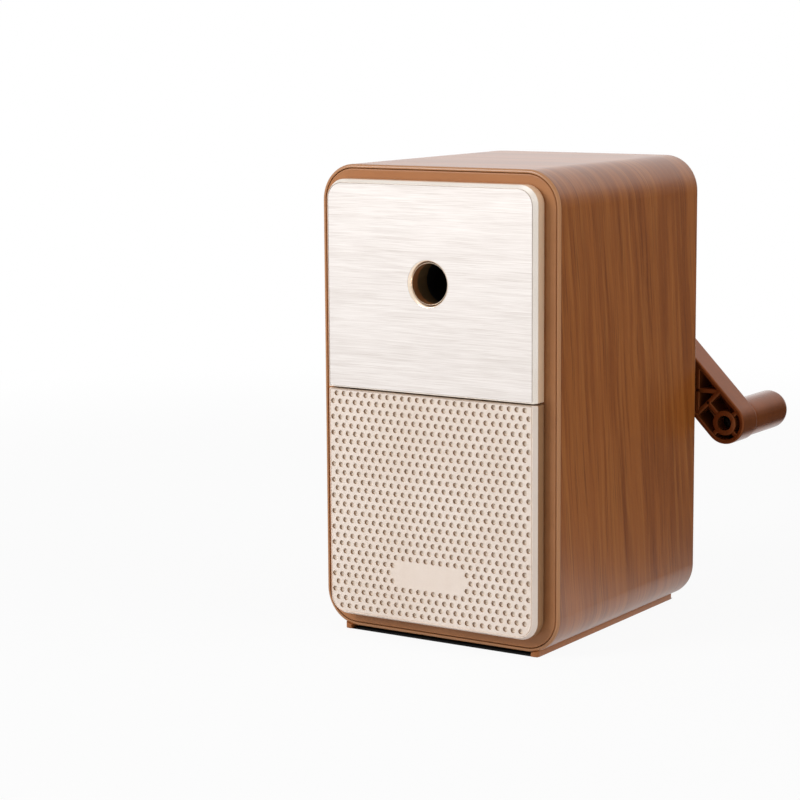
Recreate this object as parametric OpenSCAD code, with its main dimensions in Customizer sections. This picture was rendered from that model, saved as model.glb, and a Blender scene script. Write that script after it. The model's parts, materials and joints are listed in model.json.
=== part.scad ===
// Crank pencil sharpener: a rounded sleeve on a low plinth, with a pencil hole in the upper front
// panel, a shavings drawer behind the lower one and a crank at the back. The crank turns a cage
// that carries a helical cutter, and a pinion on the cutter rolls inside a fixed ring gear.
// X runs to the right, Y to the back and Z up. The origin is on the ground under the sleeve's middle.

/* [Case] */
// Width of the sleeve
case_w = 62; // [58:1:76]
// Depth of the sleeve, front rim to back rim
case_d = 66; // [64:1:84]
// Height of the sleeve
case_h = 106.7; // [104:0.1:130]
// Outer radius of the sleeve's four long edges
case_r = 8.3; // [7:0.1:10]
// Wall of the sleeve
case_wall = 2.2; // [1.8:0.1:2.6]
// Width of the sleeve's rim left showing round the bezel and the back cover
rim_w = 0.9; // [0.8:0.1:1.4]
// Rounding of the sleeve's rims
rim_round = 0.5; // [0.4:0.1:1]
// Thickness of the bezel's and the back cover's plates
cover_t = 2; // [1.6:0.1:2.4]
// Depth that the bezel and the back cover reach into the sleeve
spigot_l = 2.6; // [2:0.1:2.8]
// Wall of that spigot
spigot_wall = 1.5; // [1.2:0.1:1.8]

/* [Plinth] */
// Height of the plinth under the sleeve
plinth_h = 0.9; // [0.8:0.1:2]
// Width of the plinth
plinth_w = 51.7; // [50:0.1:53]
// Width of the plinth's side rails
rail_w = 1.8; // [1.4:0.1:2.4]
// How far the plinth stands out in front of the bezel
plinth_front = 0.4; // [0:0.1:1]
// How far the plinth stops short of the back rim
plinth_back = 1; // [0:0.1:3]
// Floor of the sleeve left at the front and at the back of the plinth's plate
floor_land = 7; // [5:0.5:9]
// Width of the rubber pad
pad_w = 30; // [20:1:34]
// Length of the rubber pad
pad_l = 48; // [30:1:50]
// Gap between the ground and the rails
ground_gap = 0.1; // [0.1:0.05:0.4]

/* [Front panels] */
// Bezel showing beside the panels
panel_side = 3.65; // [3.4:0.05:5]
// Bezel showing above the upper panel
panel_top = 3.15; // [3:0.05:5]
// Bezel showing under the drawer front
panel_foot = 3.55; // [3:0.05:4.5]
// How far the panels stand out from the bezel
panel_proud = 4.3; // [3.6:0.1:5]
// Corner radius of the panels' shared outline
panel_r = 4.4; // [3:0.1:6]
// Width of the panels' rounded front edge
bevel_w = 0.65; // [0.4:0.05:1]
// Depth of the panels' rounded front edge
bevel_d = 1.5; // [0.5:0.05:1.6]
// Side walls of the hollow panels
panel_wall = 1.5; // [1.2:0.1:1.8]
// Thickness of the upper panel behind its sheet
carrier_t = 1.4; // [1.2:0.1:1.6]
// Thickness of the brushed sheet
sheet_t = 0.4; // [0.3:0.05:0.6]
// Height of the upper panel
upper_panel_h = 47.1; // [46:0.1:52]
// Thickness of the drawer front
drawer_front_t = 2; // [1.7:0.1:2.2]
// Gap between the two panels
split_gap = 0.45; // [0.3:0.05:0.8]
// Shadow gap between the panels' sides and the bezel
shadow_gap = 0.5; // [0.3:0.05:0.8]
// How far the upper panel's lip stands in from its sides in that gap
lip_in = 0.6; // [0.4:0.1:0.8]
// Radius of the four pegs that hold the upper panel
peg_r = 1.4; // [1.2:0.1:1.6]
// Distance of the pegs from the upper panel's sides
peg_side = 3.6; // [3.2:0.1:4.4]
// Distance of the pegs from the upper panel's top and bottom
peg_rise = 5; // [4:0.1:7]

/* [Pencil hole] */
// Diameter of the pencil hole
hole_d = 9.2; // [8.6:0.1:10]
// Distance of the pencil's axis below the top of the sleeve
hole_drop = 25.6; // [25:0.1:29]
// Width of the sloping ring round the hole
ring_w = 0.7; // [0.5:0.1:1]
// Depth of the sloping ring
ring_d = 0.8; // [0.6:0.1:1]
// Wall of the nozzle behind the ring
nozzle_wall = 1.2; // [1:0.1:1.6]
// Length of the nozzle's bore
nozzle_l = 2.3; // [2:0.1:2.6]
// Thickness of the flanges of the nozzle and of the guide tube
flange_t = 1.5; // [1.2:0.1:1.8]
// Radius of those flanges
flange_r = 8.6; // [8.2:0.1:9.4]
// Bore of the guide tube behind the nozzle
guide_d = 10.4; // [10.2:0.1:11]
// Wall of the guide tube
guide_wall = 1.3; // [1:0.1:1.5]

/* [Cutter] */
// Diameter of the helical cutter
cutter_d = 11; // [10:0.1:11.4]
// Length of the helical cutter
cutter_l = 26.8; // [24:0.2:28]
// Number of cutting edges
cutter_edges = 9; // [7:1:12]
// Depth of the flutes
flute_d = 0.9; // [0.6:0.1:1.2]
// Turn of the flutes from end to end, in degrees
flute_twist = 150; // [90:5:200]
// Angle between the cutter's axle and the pencil, in degrees
tilt = 10.5; // [9.5:0.1:11]
// Radius of the cutter's axle
axle_r = 1.5; // [1.3:0.1:1.7]
// Gear module
gear_m = 0.94; // [0.9:0.01:0.98]
// Teeth of the fixed ring gear
ring_teeth = 22; // [22:1:23]
// Teeth of the pinion
pinion_teeth = 12; // [12:1:12]
// Face width of the pinion
pinion_t = 3; // [2.6:0.1:3.2]
// Length of the pinion's hub, up to the cutter
hub_l = 1.7; // [1.2:0.1:2]
// Face width of the ring gear
ring_t = 4; // [3.8:0.1:4.2]
// Outer radius of the ring gear
ring_r = 13; // [12.6:0.1:13.4]
// Outer radius of the cage's shell
cage_r = 9.2; // [9:0.1:9.3]
// Thickness of the cage's shell
cage_wall = 3; // [2.4:0.1:3.2]
// Bore of the cage for the pencil
cage_bore = 8.8; // [8.4:0.1:9.2]
// Thickness of the cage's front disc
cage_front_t = 4; // [3:0.1:4.4]
// Thickness of the cage's back disc
cage_back_t = 3.5; // [3.3:0.1:3.8]
// Length of the boss behind the back disc
cage_boss_l = 3.1; // [2.6:0.1:3.3]

/* [Drive] */
// Distance from the back rim to the face that carries the gear housing
housing_in = 7; // [6.4:0.1:7.6]
// Distance from that face to the middle of the pinion
gear_in = 11; // [10.8:0.1:11.4]
// Thickness of the gear housing's flange
housing_t = 2.5; // [2.2:0.1:2.8]
// Radius of the gear housing's flange
housing_r = 21; // [20.6:0.1:21.6]
// Wall of the gear housing's barrel
barrel_wall = 2.4; // [1.8:0.1:2.6]
// Radius of the circle of housing screws
housing_screw_circle = 18; // [17.8:0.1:18.4]
// Radius of the crank shaft
shaft_r = 3; // [2.6:0.1:3.2]
// Wall of the shaft's bush
bush_wall = 2; // [1.5:0.1:2.2]
// Width of the raised ring round the shaft on the back cover
cover_ring_w = 5; // [3:0.5:8]
// Width across the square that drives the cage
drive_sq = 4.1; // [3.4:0.1:4.4]
// Distance from the back rim to the crank arm
arm_gap = 2; // [1.4:0.1:3]
// Distance between the crank's axis and the grip's axis
arm_len = 53.5; // [40:0.5:58]
// Width of the crank arm
arm_w = 10.2; // [9:0.1:12]
// Thickness of the crank arm
arm_t = 8; // [6:0.1:9]
// Thickness of the arm's back skin
arm_skin = 1.4; // [1.2:0.1:1.8]
// Wall and ribs of the crank arm
arm_wall = 1.1; // [0.9:0.1:1.3]
// Angle of the resting crank arm below the horizontal, in degrees
crank_angle = 45.4; // [0:0.1:90]
// Radius of the boss that carries the grip
grip_boss_r = 3; // [2.7:0.1:3.4]
// Diameter of the grip
grip_d = 9.4; // [8:0.1:12]
// Length of the grip
grip_l = 19.8; // [16:0.2:30]
// Rounding of the grip's free end
grip_round = 3; // [1:0.1:3.4]

/* [Drawer] */
// Lap of the drawer front over the drawer's opening
drawer_lap = 1.8; // [1.6:0.1:2.2]
// Gap between the tray and the opening's sides
tray_gap = 0.4; // [0.3:0.05:0.6]
// Walls of the tray
tray_wall = 1.5; // [1.2:0.1:1.8]
// Corner radius of the tray's cross-section
tray_r = 3; // [2:0.1:4]
// Distance of the tray's rim below the top of the opening
tray_drop = 3.95; // [3:0.05:12]
// Room behind the closed tray
tray_back = 4; // [2:0.5:8]
// Floor of the drawer guide
guide_floor = 1.4; // [1.2:0.1:1.6]
// Height of the drawer guide's side rails
guide_rail_h = 16; // [8:1:24]
// Thickness of the inner chassis' walls
chassis_wall = 2; // [1.6:0.1:2.2]
// Distance of the deck above the top of the opening
deck_rise = 1.5; // [1.2:0.1:2]
// Depth of the chute's skirt below the deck
skirt_h = 4; // [2:0.5:4]

/* [Screws] */
// Shank radius of the case screws
screw_r = 1.2; // [1:0.05:1.3]
// Head radius of the case screws
head_r = 2.4; // [2.1:0.1:2.5]
// Head height of the case screws
head_t = 1.2; // [0.9:0.1:1.3]
// Boss radius round a case screw
boss_r = 2.9; // [2.6:0.1:3]
// Distance of the frame screws from the pencil's axis, to each side
frame_screw_x = 16.5; // [16:0.1:18]
// Distance of the frame screws above and below the pencil's axis
frame_screw_drop = 13.5; // [13:0.1:15]
// Distance of the back cover's screws from the sleeve's sides
cover_screw_side = 7.5; // [7:0.1:9]
// Distance of the back cover's upper screws from the sleeve's top
cover_screw_top = 7.6; // [7.2:0.1:9]
// Distance of the back cover's lower screws from the sleeve's underside
cover_screw_foot = 8.4; // [8:0.1:10]
// Reach of the back cover's screws behind it
cover_screw_reach = 4; // [3:0.1:4.4]
// Distance of the base screws from the plinth's sides
base_screw_side = 6; // [5.6:0.1:8]
// Distance of the base screws from the plate's ends
base_screw_end = 5; // [4:0.1:8]
// Distance of the drawer screws from the tray's sides
drawer_screw_side = 9; // [6:0.1:16]
// Reach of the drawer screws in front of the tray
drawer_screw_reach = 2.4; // [1.8:0.1:2.6]
// Length of the crank's screw under its head
crank_screw_l = 8; // [6:0.1:9]
// Length of the grip's screw under its head
grip_screw_l = 14; // [10:0.1:16]

/* [Hidden] */

$fn = 64;
eps = 0.01;       // overlap of a cut past the face it opens
cut = 1;          // reach of a cut past the outside
fit = 0.1;        // gap round a piece that drops into another
press = 0.02;     // gap round a pressed or threaded piece
running = 0.05;   // radial gap of a turning fit

// Planes along Y, from the front to the back
front_y = -case_d / 2;
rear_y = case_d / 2;
panel_y = front_y - panel_proud;
sheet_back_y = panel_y + sheet_t;
carrier_back_y = sheet_back_y + carrier_t;
ring_back_y = panel_y + ring_d;
nozzle_back_y = ring_back_y + nozzle_l;
web_y = front_y + cover_t;
guide_flange_y = web_y + flange_t;
chassis_y = guide_flange_y + flange_t;
housing_y = rear_y - housing_in;
cover_y = rear_y - cover_t;
arm_y = rear_y + arm_gap;
arm_back_y = arm_y + arm_t;
chassis_back_t = chassis_wall + 1;

// Heights
case_z = plinth_h;
case_mid_z = case_z + case_h / 2;
case_top_z = case_z + case_h;
floor_z = case_z + case_wall;
axis_z = case_top_z - hole_drop;
panel_z = case_z + panel_foot;
panel_top_z = case_top_z - panel_top;
split_z = panel_top_z - upper_panel_h;
drawer_top_z = split_z - split_gap;
opening_z = panel_z + drawer_lap;
opening_top_z = drawer_top_z - drawer_lap;
deck_z = opening_top_z + deck_rise;
deck_top_z = deck_z + chassis_wall;

// Plinth and floor
cut_w = plinth_w - rail_w;
cut_l = case_d - 2 * floor_land;
base_screw_x = plinth_w / 2 - base_screw_side;
base_screw_y = cut_l / 2 - base_screw_end;
guide_z = floor_z + fit / 2;

// Panels
panel_w = case_w - 2 * panel_side;
peg_x = panel_w / 2 - peg_side;
peg_low_z = split_z + peg_rise;
peg_top_z = panel_top_z - peg_rise;

// Pencil way
hole_r = hole_d / 2;
nozzle_r = hole_r + nozzle_wall;
guide_r = guide_d / 2;

// Gears: the pinion's middle is at gear_y, at the centre distance from the pencil's axis
gear_y = housing_y - gear_in;
gear_offset = (ring_teeth - pinion_teeth) * gear_m / 2;
ring_pitch_r = ring_teeth * gear_m / 2;
pinion_pitch_r = pinion_teeth * gear_m / 2;
pressure = 20;
addendum = 0.75 * gear_m;
dedendum = 1.05 * gear_m;
backlash = 0.16;                     // taken off each flank
pinion_tip_r = pinion_pitch_r + addendum;
mesh_y = gear_y + pinion_pitch_r * sin(tilt);
pinion_clear_z = gear_offset - pinion_tip_r - pinion_t * sin(tilt) - 0.5;  // top of the cage's shell
ring_y = mesh_y - ring_t / 2;
ring_back = mesh_y + ring_t / 2;

// Cutter, measured along its own axle from the pinion's middle: back is positive
cutter_back_s = -pinion_t / 2 - hub_l;
cutter_front_s = cutter_back_s - cutter_l;
cutter_r = cutter_d / 2;
cage_y = gear_y + cutter_front_s * cos(tilt) - cutter_r * sin(tilt) - 1 - cage_front_t;
cage_back_y = ring_back - fit * 2;
cage_boss_y = cage_back_y + cage_back_t;
cage_end_y = cage_boss_y + cage_boss_l;
axle_front_s = (cage_y - gear_y) / cos(tilt);
axle_back_s = (cage_boss_y - 0.8 - gear_y) / cos(tilt);
front_lug_drop = gear_offset - (cage_y + cage_front_t / 2 - gear_y) * tan(tilt);
lug_r = axle_r + 2.8;
sweep_r = max(front_lug_drop + lug_r, gear_offset - cutter_front_s * sin(tilt) + cutter_r);
guide_end_y = cage_y - 0.5;

// Drive
barrel_in_r = ring_r + press;
barrel_r = barrel_in_r + barrel_wall;
barrel_y = ring_y - 0.6;
shoulder_r = cage_r + 1.5;
bush_r = shaft_r + running + bush_wall;
bush_flange_t = 0.8;
bush_end_y = housing_y + housing_t + 1.5;
clip_y = bush_end_y + 0.3;
clip_t = 0.8;
groove_r = shaft_r - 0.4;
drive_end_y = arm_back_y - 1.8;

// Crank arm, in its own frame: X runs from the crank's axis to the grip's
arm_r = arm_w / 2;
pocket_r = arm_r - arm_wall;
rib_y = arm_y + 0.3;
grip_hole_r = 1.8;
grip_seat_y = arm_y + arm_t / 2 + 0.2;
grip_y = arm_back_y + 0.2;
grip_r = grip_d / 2;

// Chassis and drawer
bay_w = 2 * (sweep_r + 2.4);
bay_top_z = axis_z + sweep_r + 1.5;
cover_screw_x = case_w / 2 - cover_screw_side;
cover_screw_top_z = case_top_z - cover_screw_top;
cover_screw_low_z = case_z + cover_screw_foot;
opening_w = panel_w - 2 * drawer_lap;
tray_w = opening_w - 2 * tray_gap;
tray_y = front_y - shadow_gap;
tray_z = opening_z + tray_gap;
tray_top_z = opening_top_z - tray_drop;
tray_h = tray_top_z - tray_z;
tray_l = housing_y - tray_back - tray_y;
drawer_screw_x = tray_w / 2 - drawer_screw_side;
drawer_screw_z = (tray_z + tray_top_z) / 2;
drawer_screw_l = tray_wall + drawer_screw_reach;

// Rectangle with rounded corners about its middle
module rounded_rect(w, h, r) {
    square([w - 2 * r, h], center = true);
    square([w, h - 2 * r], center = true);
    for (sx = [-1, 1], sy = [-1, 1])
        translate([sx * (w / 2 - r), sy * (h / 2 - r)]) circle(r);
}

// Stands a flat outline up, so that its second axis points up, and extrudes it from y0 to y1
module along_y(y0, y1) {
    translate([0, y1, 0]) rotate([90, 0, 0]) linear_extrude(y1 - y0) children();
}

// Round bar along Y
module rod_y(r, y0, y1) {
    translate([0, y1, 0]) rotate([90, 0, 0]) cylinder(r = r, h = y1 - y0);
}

// Block from its low corner to its high corner
module block(low, high) {
    translate(low) cube(high - low);
}

// The sleeve's cross-section, drawn in by an inset
module case_outline(inset = 0) {
    translate([0, case_mid_z])
        rounded_rect(case_w - 2 * inset, case_h - 2 * inset, max(case_r - inset, 0.4));
}

// The panels' shared outline between two heights, drawn in by an inset
module panel_outline(low_z, high_z, inset = 0) {
    mid = (panel_z + panel_top_z) / 2;
    tall = panel_top_z - panel_z;
    intersection() {
        translate([0, mid])
            rounded_rect(panel_w - 2 * inset, tall - 2 * inset, max(panel_r - inset, 0.4));
        translate([-panel_w, low_z]) square([2 * panel_w, high_z - low_z]);
    }
}

// Panel blank with a rounded front edge
module panel_blank(low_z, high_z, back_y) {
    hull()
        for (a = [0 : 22.5 : 90])
            along_y(panel_y + bevel_d * (1 - cos(a)), back_y)
                panel_outline(low_z, high_z, bevel_w * (1 - sin(a)), $fn = 48);
}

// Screw with its head's underside at the origin, its shank down and a cross in its head
module screw(r, length, cap_r, cap_t) {
    difference() {
        union() {
            cylinder(r = cap_r, h = cap_t);
            translate([0, 0, -length]) cylinder(r = r, h = length + eps);
        }
        for (turn = [0, 90])
            rotate([0, 0, turn]) translate([-cap_r * 0.6, -cap_t * 0.2, cap_t / 2])
                cube([cap_r * 1.2, cap_t * 0.4, cap_t]);
    }
}

// Half the angle that a tooth takes at radius r, for a pitch radius and a half angle there
function involute(angle) = tan(angle) * 180 / PI - angle;
function tooth_angle(r, pitch_r, half) =
    half + involute(pressure) - involute(acos(min(1, pitch_r * cos(pressure) / r)));

// Gear outline with involute flanks, and a tooth along +X
module gear_outline(teeth, root_r, tip_r, widen) {
    pitch_r = teeth * gear_m / 2;
    half = 90 / teeth + widen / pitch_r * 180 / PI;
    base_r = pitch_r * cos(pressure);
    start_r = max(root_r, base_r);
    steps = 4;
    radii = [for (i = [0 : steps]) start_r + (tip_r - start_r) * i / steps];
    polygon([
        for (t = [0 : teeth - 1])
            let (mid = t * 360 / teeth)
            each concat(
                [root_r * [cos(mid - tooth_angle(start_r, pitch_r, half)),
                    sin(mid - tooth_angle(start_r, pitch_r, half))]],
                [for (r = radii) r * [cos(mid - tooth_angle(r, pitch_r, half)),
                    sin(mid - tooth_angle(r, pitch_r, half))]],
                [for (i = [steps : -1 : 0]) let (r = radii[i])
                    r * [cos(mid + tooth_angle(r, pitch_r, half)),
                    sin(mid + tooth_angle(r, pitch_r, half))]],
                [root_r * [cos(mid + tooth_angle(start_r, pitch_r, half)),
                    sin(mid + tooth_angle(start_r, pitch_r, half))]]
            )
    ]);
}

// Moves children to the pencil's axis
module on_axis() {
    translate([0, 0, axis_z]) children();
}

// Moves children to the cutter's axle: their Z runs along it to the back, from the pinion's middle
module on_axle() {
    translate([0, gear_y, axis_z + gear_offset]) rotate([-90 - tilt, 0, 0]) children();
}

// Moves children to the crank's frame, where X runs along the arm
module on_crank() {
    on_axis() rotate([0, crank_angle, 0]) children();
}

// The four places of the screws through the bezel
module at_frame_screws() {
    for (sx = [-1, 1], sz = [-1, 1])
        translate([sx * frame_screw_x, 0, axis_z + sz * frame_screw_drop]) children();
}

// The places of the screws through the back cover, at one height
module at_cover_screws(z) {
    for (sx = [-1, 1]) translate([sx * cover_screw_x, 0, z]) children();
}

module at_base_screws() {
    for (sx = [-1, 1], sy = [-1, 1]) translate([sx * base_screw_x, sy * base_screw_y, 0]) children();
}

module at_housing_screws() {
    on_axis() for (turn = [0, 120, 240])
        rotate([0, turn, 0]) translate([0, 0, housing_screw_circle]) children();
}

// Rounded tube with rebates for the bezel and the back cover, and a floor cut for the plinth's plate
module sleeve() {
    color("sienna") difference() {
        hull()
            for (a = [0 : 22.5 : 90])
                along_y(front_y + rim_round * (1 - cos(a)), rear_y - rim_round * (1 - cos(a)))
                    case_outline(rim_round * (1 - sin(a)));
        along_y(front_y - cut, rear_y + cut) case_outline(case_wall);
        along_y(front_y - cut, web_y) case_outline(rim_w);
        along_y(cover_y, rear_y + cut) case_outline(rim_w);
        block([-cut_w / 2, -cut_l / 2, case_z - cut], [cut_w / 2, cut_l / 2, floor_z + cut]);
    }
}

// Bezel: a plate in the front rebate, with a spigot and the openings for the drawer and the nozzle
module front_frame() {
    color("peru") difference() {
        union() {
            along_y(front_y, web_y) case_outline(rim_w + fit);
            along_y(front_y, web_y + spigot_l) case_outline(case_wall + fit);
        }
        along_y(web_y, web_y + spigot_l + cut) case_outline(case_wall + fit + spigot_wall);
        along_y(front_y - cut, web_y + cut) drawer_opening_outline();
        on_axis() rod_y(nozzle_r + fit, front_y - cut, web_y + cut);
        at_frame_screws() {
            rod_y(screw_r + fit, front_y - cut, web_y + cut);
            rod_y(head_r + fit, front_y - cut, front_y + head_t + press);
        }
        at_pegs() rod_y(peg_r + fit, front_y - cut, web_y + cut);
    }
}

module drawer_opening_outline() {
    translate([0, (opening_z + opening_top_z) / 2])
        rounded_rect(opening_w, opening_top_z - opening_z, tray_r + tray_gap);
}

module at_pegs() {
    for (sx = [-1, 1], z = [peg_low_z, peg_top_z]) translate([sx * peg_x, 0, z]) children();
}

// Back cover: a plate in the back rebate with a spigot, a raised ring and the shaft's hole
module back_cover() {
    color("peru") difference() {
        union() {
            along_y(cover_y, rear_y) case_outline(rim_w + fit);
            along_y(cover_y - spigot_l, rear_y) case_outline(case_wall + fit);
            on_axis() rod_y(bush_r + cover_ring_w, cover_y, rear_y + arm_gap * 0.4);
        }
        along_y(cover_y - spigot_l - cut, cover_y) case_outline(case_wall + fit + spigot_wall);
        on_axis() rod_y(bush_r + 0.4, cover_y - cut, rear_y + arm_gap);
        for (z = [cover_screw_top_z, cover_screw_low_z]) at_cover_screws(z) {
            rod_y(screw_r + fit, cover_y - cut, rear_y + cut);
            rod_y(head_r + fit, rear_y - head_t - press, rear_y + cut);
        }
    }
}

// Plinth: side and back rails that follow the sleeve's round edges, on a plate in the floor cut
module base_plate() {
    low_y = front_y - plinth_front;
    high_y = rear_y - plinth_back;
    color("saddlebrown") difference() {
        union() {
            difference() {
                translate([0, (low_y + high_y) / 2, ground_gap])
                    linear_extrude(floor_z) rounded_rect(plinth_w, high_y - low_y, 1);
                block([-plinth_w / 2 + rail_w, low_y - cut, -cut],
                    [plinth_w / 2 - rail_w, high_y - rail_w, floor_z + cut]);
                along_y(low_y - cut, high_y + cut) case_outline(0);
            }
            block([-cut_w / 2 + fit, -cut_l / 2 + fit, case_z], [cut_w / 2 - fit, cut_l / 2 - fit, floor_z]);
        }
        at_base_screws() {
            translate([0, 0, case_z - cut]) cylinder(r = screw_r + fit, h = case_wall + 2 * cut);
            translate([0, 0, case_z - cut]) cylinder(r = head_r + fit, h = cut + head_t + press);
        }
    }
}

// Rubber pad under the plinth's plate, which carries the sharpener on the table
module rubber_pad() {
    color("dimgray") difference() {
        linear_extrude(case_z) rounded_rect(pad_w, pad_l, 3);
        for (i = [-2 : 2]) translate([-pad_w / 2 + 4, i * pad_l / 6 - 0.5, -cut])
            cube([pad_w / 3 - 2, 1, cut + 0.4]);
    }
}

module base_screws() {
    color("silver") at_base_screws() translate([0, 0, case_z + head_t])
        mirror([0, 0, 1]) screw(screw_r, case_wall - head_t + guide_floor + 1.4, head_r, head_t);
}

// Upper panel: a hollow moulding with a recess for the sheet and four pegs through the bezel
module top_panel() {
    color("burlywood") difference() {
        union() {
            difference() {
                union() {
                    panel_blank(split_z, panel_top_z, front_y - shadow_gap);
                    along_y(front_y - shadow_gap - eps, front_y)
                        panel_outline(split_z + lip_in, panel_top_z - lip_in, lip_in);
                }
                along_y(carrier_back_y, front_y + cut)
                    panel_outline(split_z + panel_wall, panel_top_z - panel_wall, panel_wall);
            }
            at_pegs() rod_y(peg_r, carrier_back_y - eps, web_y + 1);
            on_axis() rod_y(nozzle_r + fit + panel_wall, carrier_back_y - eps, front_y);
        }
        along_y(panel_y - cut, sheet_back_y) sheet_outline(0);
        on_axis() {
            rod_y(hole_r + ring_w + press, panel_y - cut, front_y + cut);
            rod_y(nozzle_r + fit, ring_back_y, front_y + cut);
        }
    }
}

// Outline of the brushed sheet, drawn in by an inset
module sheet_outline(inset) {
    edge = bevel_w + 0.15 + inset;
    panel_outline(split_z + edge - bevel_w, panel_top_z - edge, edge);
}

module brushed_plate() {
    color("whitesmoke") difference() {
        along_y(panel_y, sheet_back_y) sheet_outline(press * 2);
        on_axis() rod_y(hole_r + ring_w + press, panel_y - cut, sheet_back_y + cut);
    }
}

// Ring that slopes from the sheet down to the nozzle's bore
module hole_ring() {
    color("bisque") on_axis() difference() {
        rod_y(hole_r + ring_w, panel_y, ring_back_y);
        translate([0, ring_back_y + eps, 0]) rotate([90, 0, 0])
            cylinder(r1 = hole_r, r2 = hole_r + ring_w - 0.15, h = ring_d + 2 * eps);
    }
}

// Nozzle that the pencil enters by, with a flange behind the bezel
module pencil_nozzle() {
    color("saddlebrown") on_axis() difference() {
        union() {
            rod_y(nozzle_r, ring_back_y, guide_flange_y);
            rod_y(flange_r, web_y, guide_flange_y);
        }
        rod_y(hole_r, ring_back_y - cut, nozzle_back_y + eps);
        rod_y(guide_r, nozzle_back_y, guide_flange_y + cut);
    }
}

// Guide tube from the nozzle to the cage
module pencil_guide() {
    color("black") on_axis() difference() {
        union() {
            rod_y(flange_r, guide_flange_y, chassis_y);
            rod_y(guide_r + guide_wall, guide_flange_y, guide_end_y);
        }
        rod_y(guide_r, guide_flange_y - cut, guide_end_y + cut);
    }
}

module frame_screws() {
    color("silver") at_frame_screws() translate([0, front_y + head_t, 0])
        rotate([90, 0, 0]) screw(screw_r, chassis_y + chassis_wall - 0.5 - front_y - head_t, head_r, head_t);
}

// Inner chassis: a deck with the chute, the cutter's bay and the wall that carries the gear housing
module chassis() {
    bay_x = bay_w / 2;
    wall_x = bay_x + chassis_wall;
    chute_x = sweep_r;
    chute_low_y = chassis_y + chassis_wall + 2;
    chute_high_y = barrel_y - 1;
    color("tan") intersection() {
        difference() {
            union() {
                block([-case_w / 2, chassis_y, deck_z], [case_w / 2, housing_y, deck_top_z]);
                block([-case_w / 2, housing_y - chassis_back_t, deck_z], [case_w / 2, housing_y, case_top_z]);
                block([-wall_x, chassis_y, deck_z], [wall_x, chassis_y + chassis_wall, bay_top_z]);
                for (sx = [-1, 1])
                    block([sx * bay_x - (sx < 0 ? chassis_wall : 0), chassis_y, deck_z],
                        [sx * bay_x + (sx > 0 ? chassis_wall : 0), housing_y, bay_top_z]);
                block([-chute_x - chassis_wall, chute_low_y - chassis_wall, deck_z - skirt_h],
                    [chute_x + chassis_wall, chute_high_y + chassis_wall, deck_z + eps]);
                at_frame_screws() rod_y(boss_r, web_y, chassis_y + chassis_wall);
                at_cover_screws(cover_screw_top_z) rod_y(boss_r, housing_y - eps, cover_y);
            }
            block([-chute_x, chute_low_y, deck_z - skirt_h - cut], [chute_x, chute_high_y, deck_top_z + cut]);
            on_axis() {
                rod_y(guide_r + guide_wall + fit, chassis_y - cut, chassis_y + chassis_wall + cut);
                rod_y(barrel_r + fit, housing_y - chassis_back_t - cut, housing_y + cut);
            }
            at_frame_screws() rod_y(screw_r + press, web_y - cut, chassis_y + chassis_wall + cut);
            at_cover_screws(cover_screw_top_z) rod_y(screw_r + press, housing_y - cut, cover_y + cut);
            at_housing_screws()
                rod_y(screw_r + press, housing_y - chassis_back_t - cut, housing_y + cut);
        }
        along_y(web_y - eps, cover_y + eps) case_outline(case_wall + fit);
    }
}

// Drawer guide on the sleeve's floor: a floor, side rails, two runners and a back wall with bosses
module drawer_guide() {
    rail_x = opening_w / 2;
    end_y = housing_y + 1;
    color("tan") difference() {
        intersection() {
            union() {
                block([-case_w / 2, chassis_y, guide_z], [case_w / 2, end_y, guide_z + guide_floor]);
                for (sx = [-1, 1]) {
                    block([sx * rail_x - (sx < 0 ? chassis_wall : 0), chassis_y, guide_z],
                        [sx * rail_x + (sx > 0 ? chassis_wall : 0), end_y, guide_z + guide_rail_h]);
                    block([sx * tray_w / 4 - 0.8, chassis_y, guide_z],
                        [sx * tray_w / 4 + 0.8, housing_y, tray_z - fit]);
                }
                block([-case_w / 2, end_y - chassis_wall, guide_z],
                    [case_w / 2, end_y, guide_z + guide_rail_h]);
                at_base_screws() translate([0, 0, guide_z]) cylinder(r = boss_r, h = guide_floor + 1);
                at_cover_screws(cover_screw_low_z) rod_y(boss_r, end_y - eps, cover_y);
            }
            along_y(web_y, cover_y + eps) case_outline(case_wall + fit);
        }
        at_base_screws() translate([0, 0, guide_z - cut])
            cylinder(r = screw_r + press, h = guide_floor + 1 + 2 * cut);
        at_cover_screws(cover_screw_low_z) rod_y(screw_r + press, end_y - chassis_wall - cut, cover_y + cut);
    }
}

module cover_screws() {
    color("silver") for (z = [cover_screw_top_z, cover_screw_low_z]) at_cover_screws(z)
        translate([0, rear_y - head_t, 0])
            rotate([-90, 0, 0]) screw(screw_r, cover_t - head_t + cover_screw_reach, head_r, head_t);
}

// Gear housing: a barrel that holds the ring gear, with a flange on the chassis
module gear_housing() {
    color("slategray") difference() {
        on_axis() union() {
            rod_y(barrel_r, barrel_y, housing_y + eps);
            rod_y(housing_r, housing_y, housing_y + housing_t);
        }
        on_axis() {
            rod_y(barrel_in_r, barrel_y - cut, ring_back);
            rod_y(shoulder_r, barrel_y, housing_y);
            rod_y(bush_r + press, housing_y - cut, housing_y + housing_t + cut);
        }
        at_housing_screws() rod_y(screw_r + fit, housing_y - cut, housing_y + housing_t + cut);
    }
}

module housing_screws() {
    color("silver") at_housing_screws() translate([0, housing_y + housing_t, 0])
        rotate([-90, 0, 0]) screw(screw_r, housing_t + chassis_back_t - 0.5, head_r, head_t);
}

// Fixed ring gear, with a tooth space above the pencil's axis
module ring_gear() {
    color("gray") on_axis() difference() {
        rod_y(ring_r, ring_y, ring_back);
        along_y(ring_y - cut, ring_back + cut) rotate(90)
            gear_outline(ring_teeth, ring_pitch_r - addendum, ring_pitch_r + dedendum, backlash);
    }
}

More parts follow.
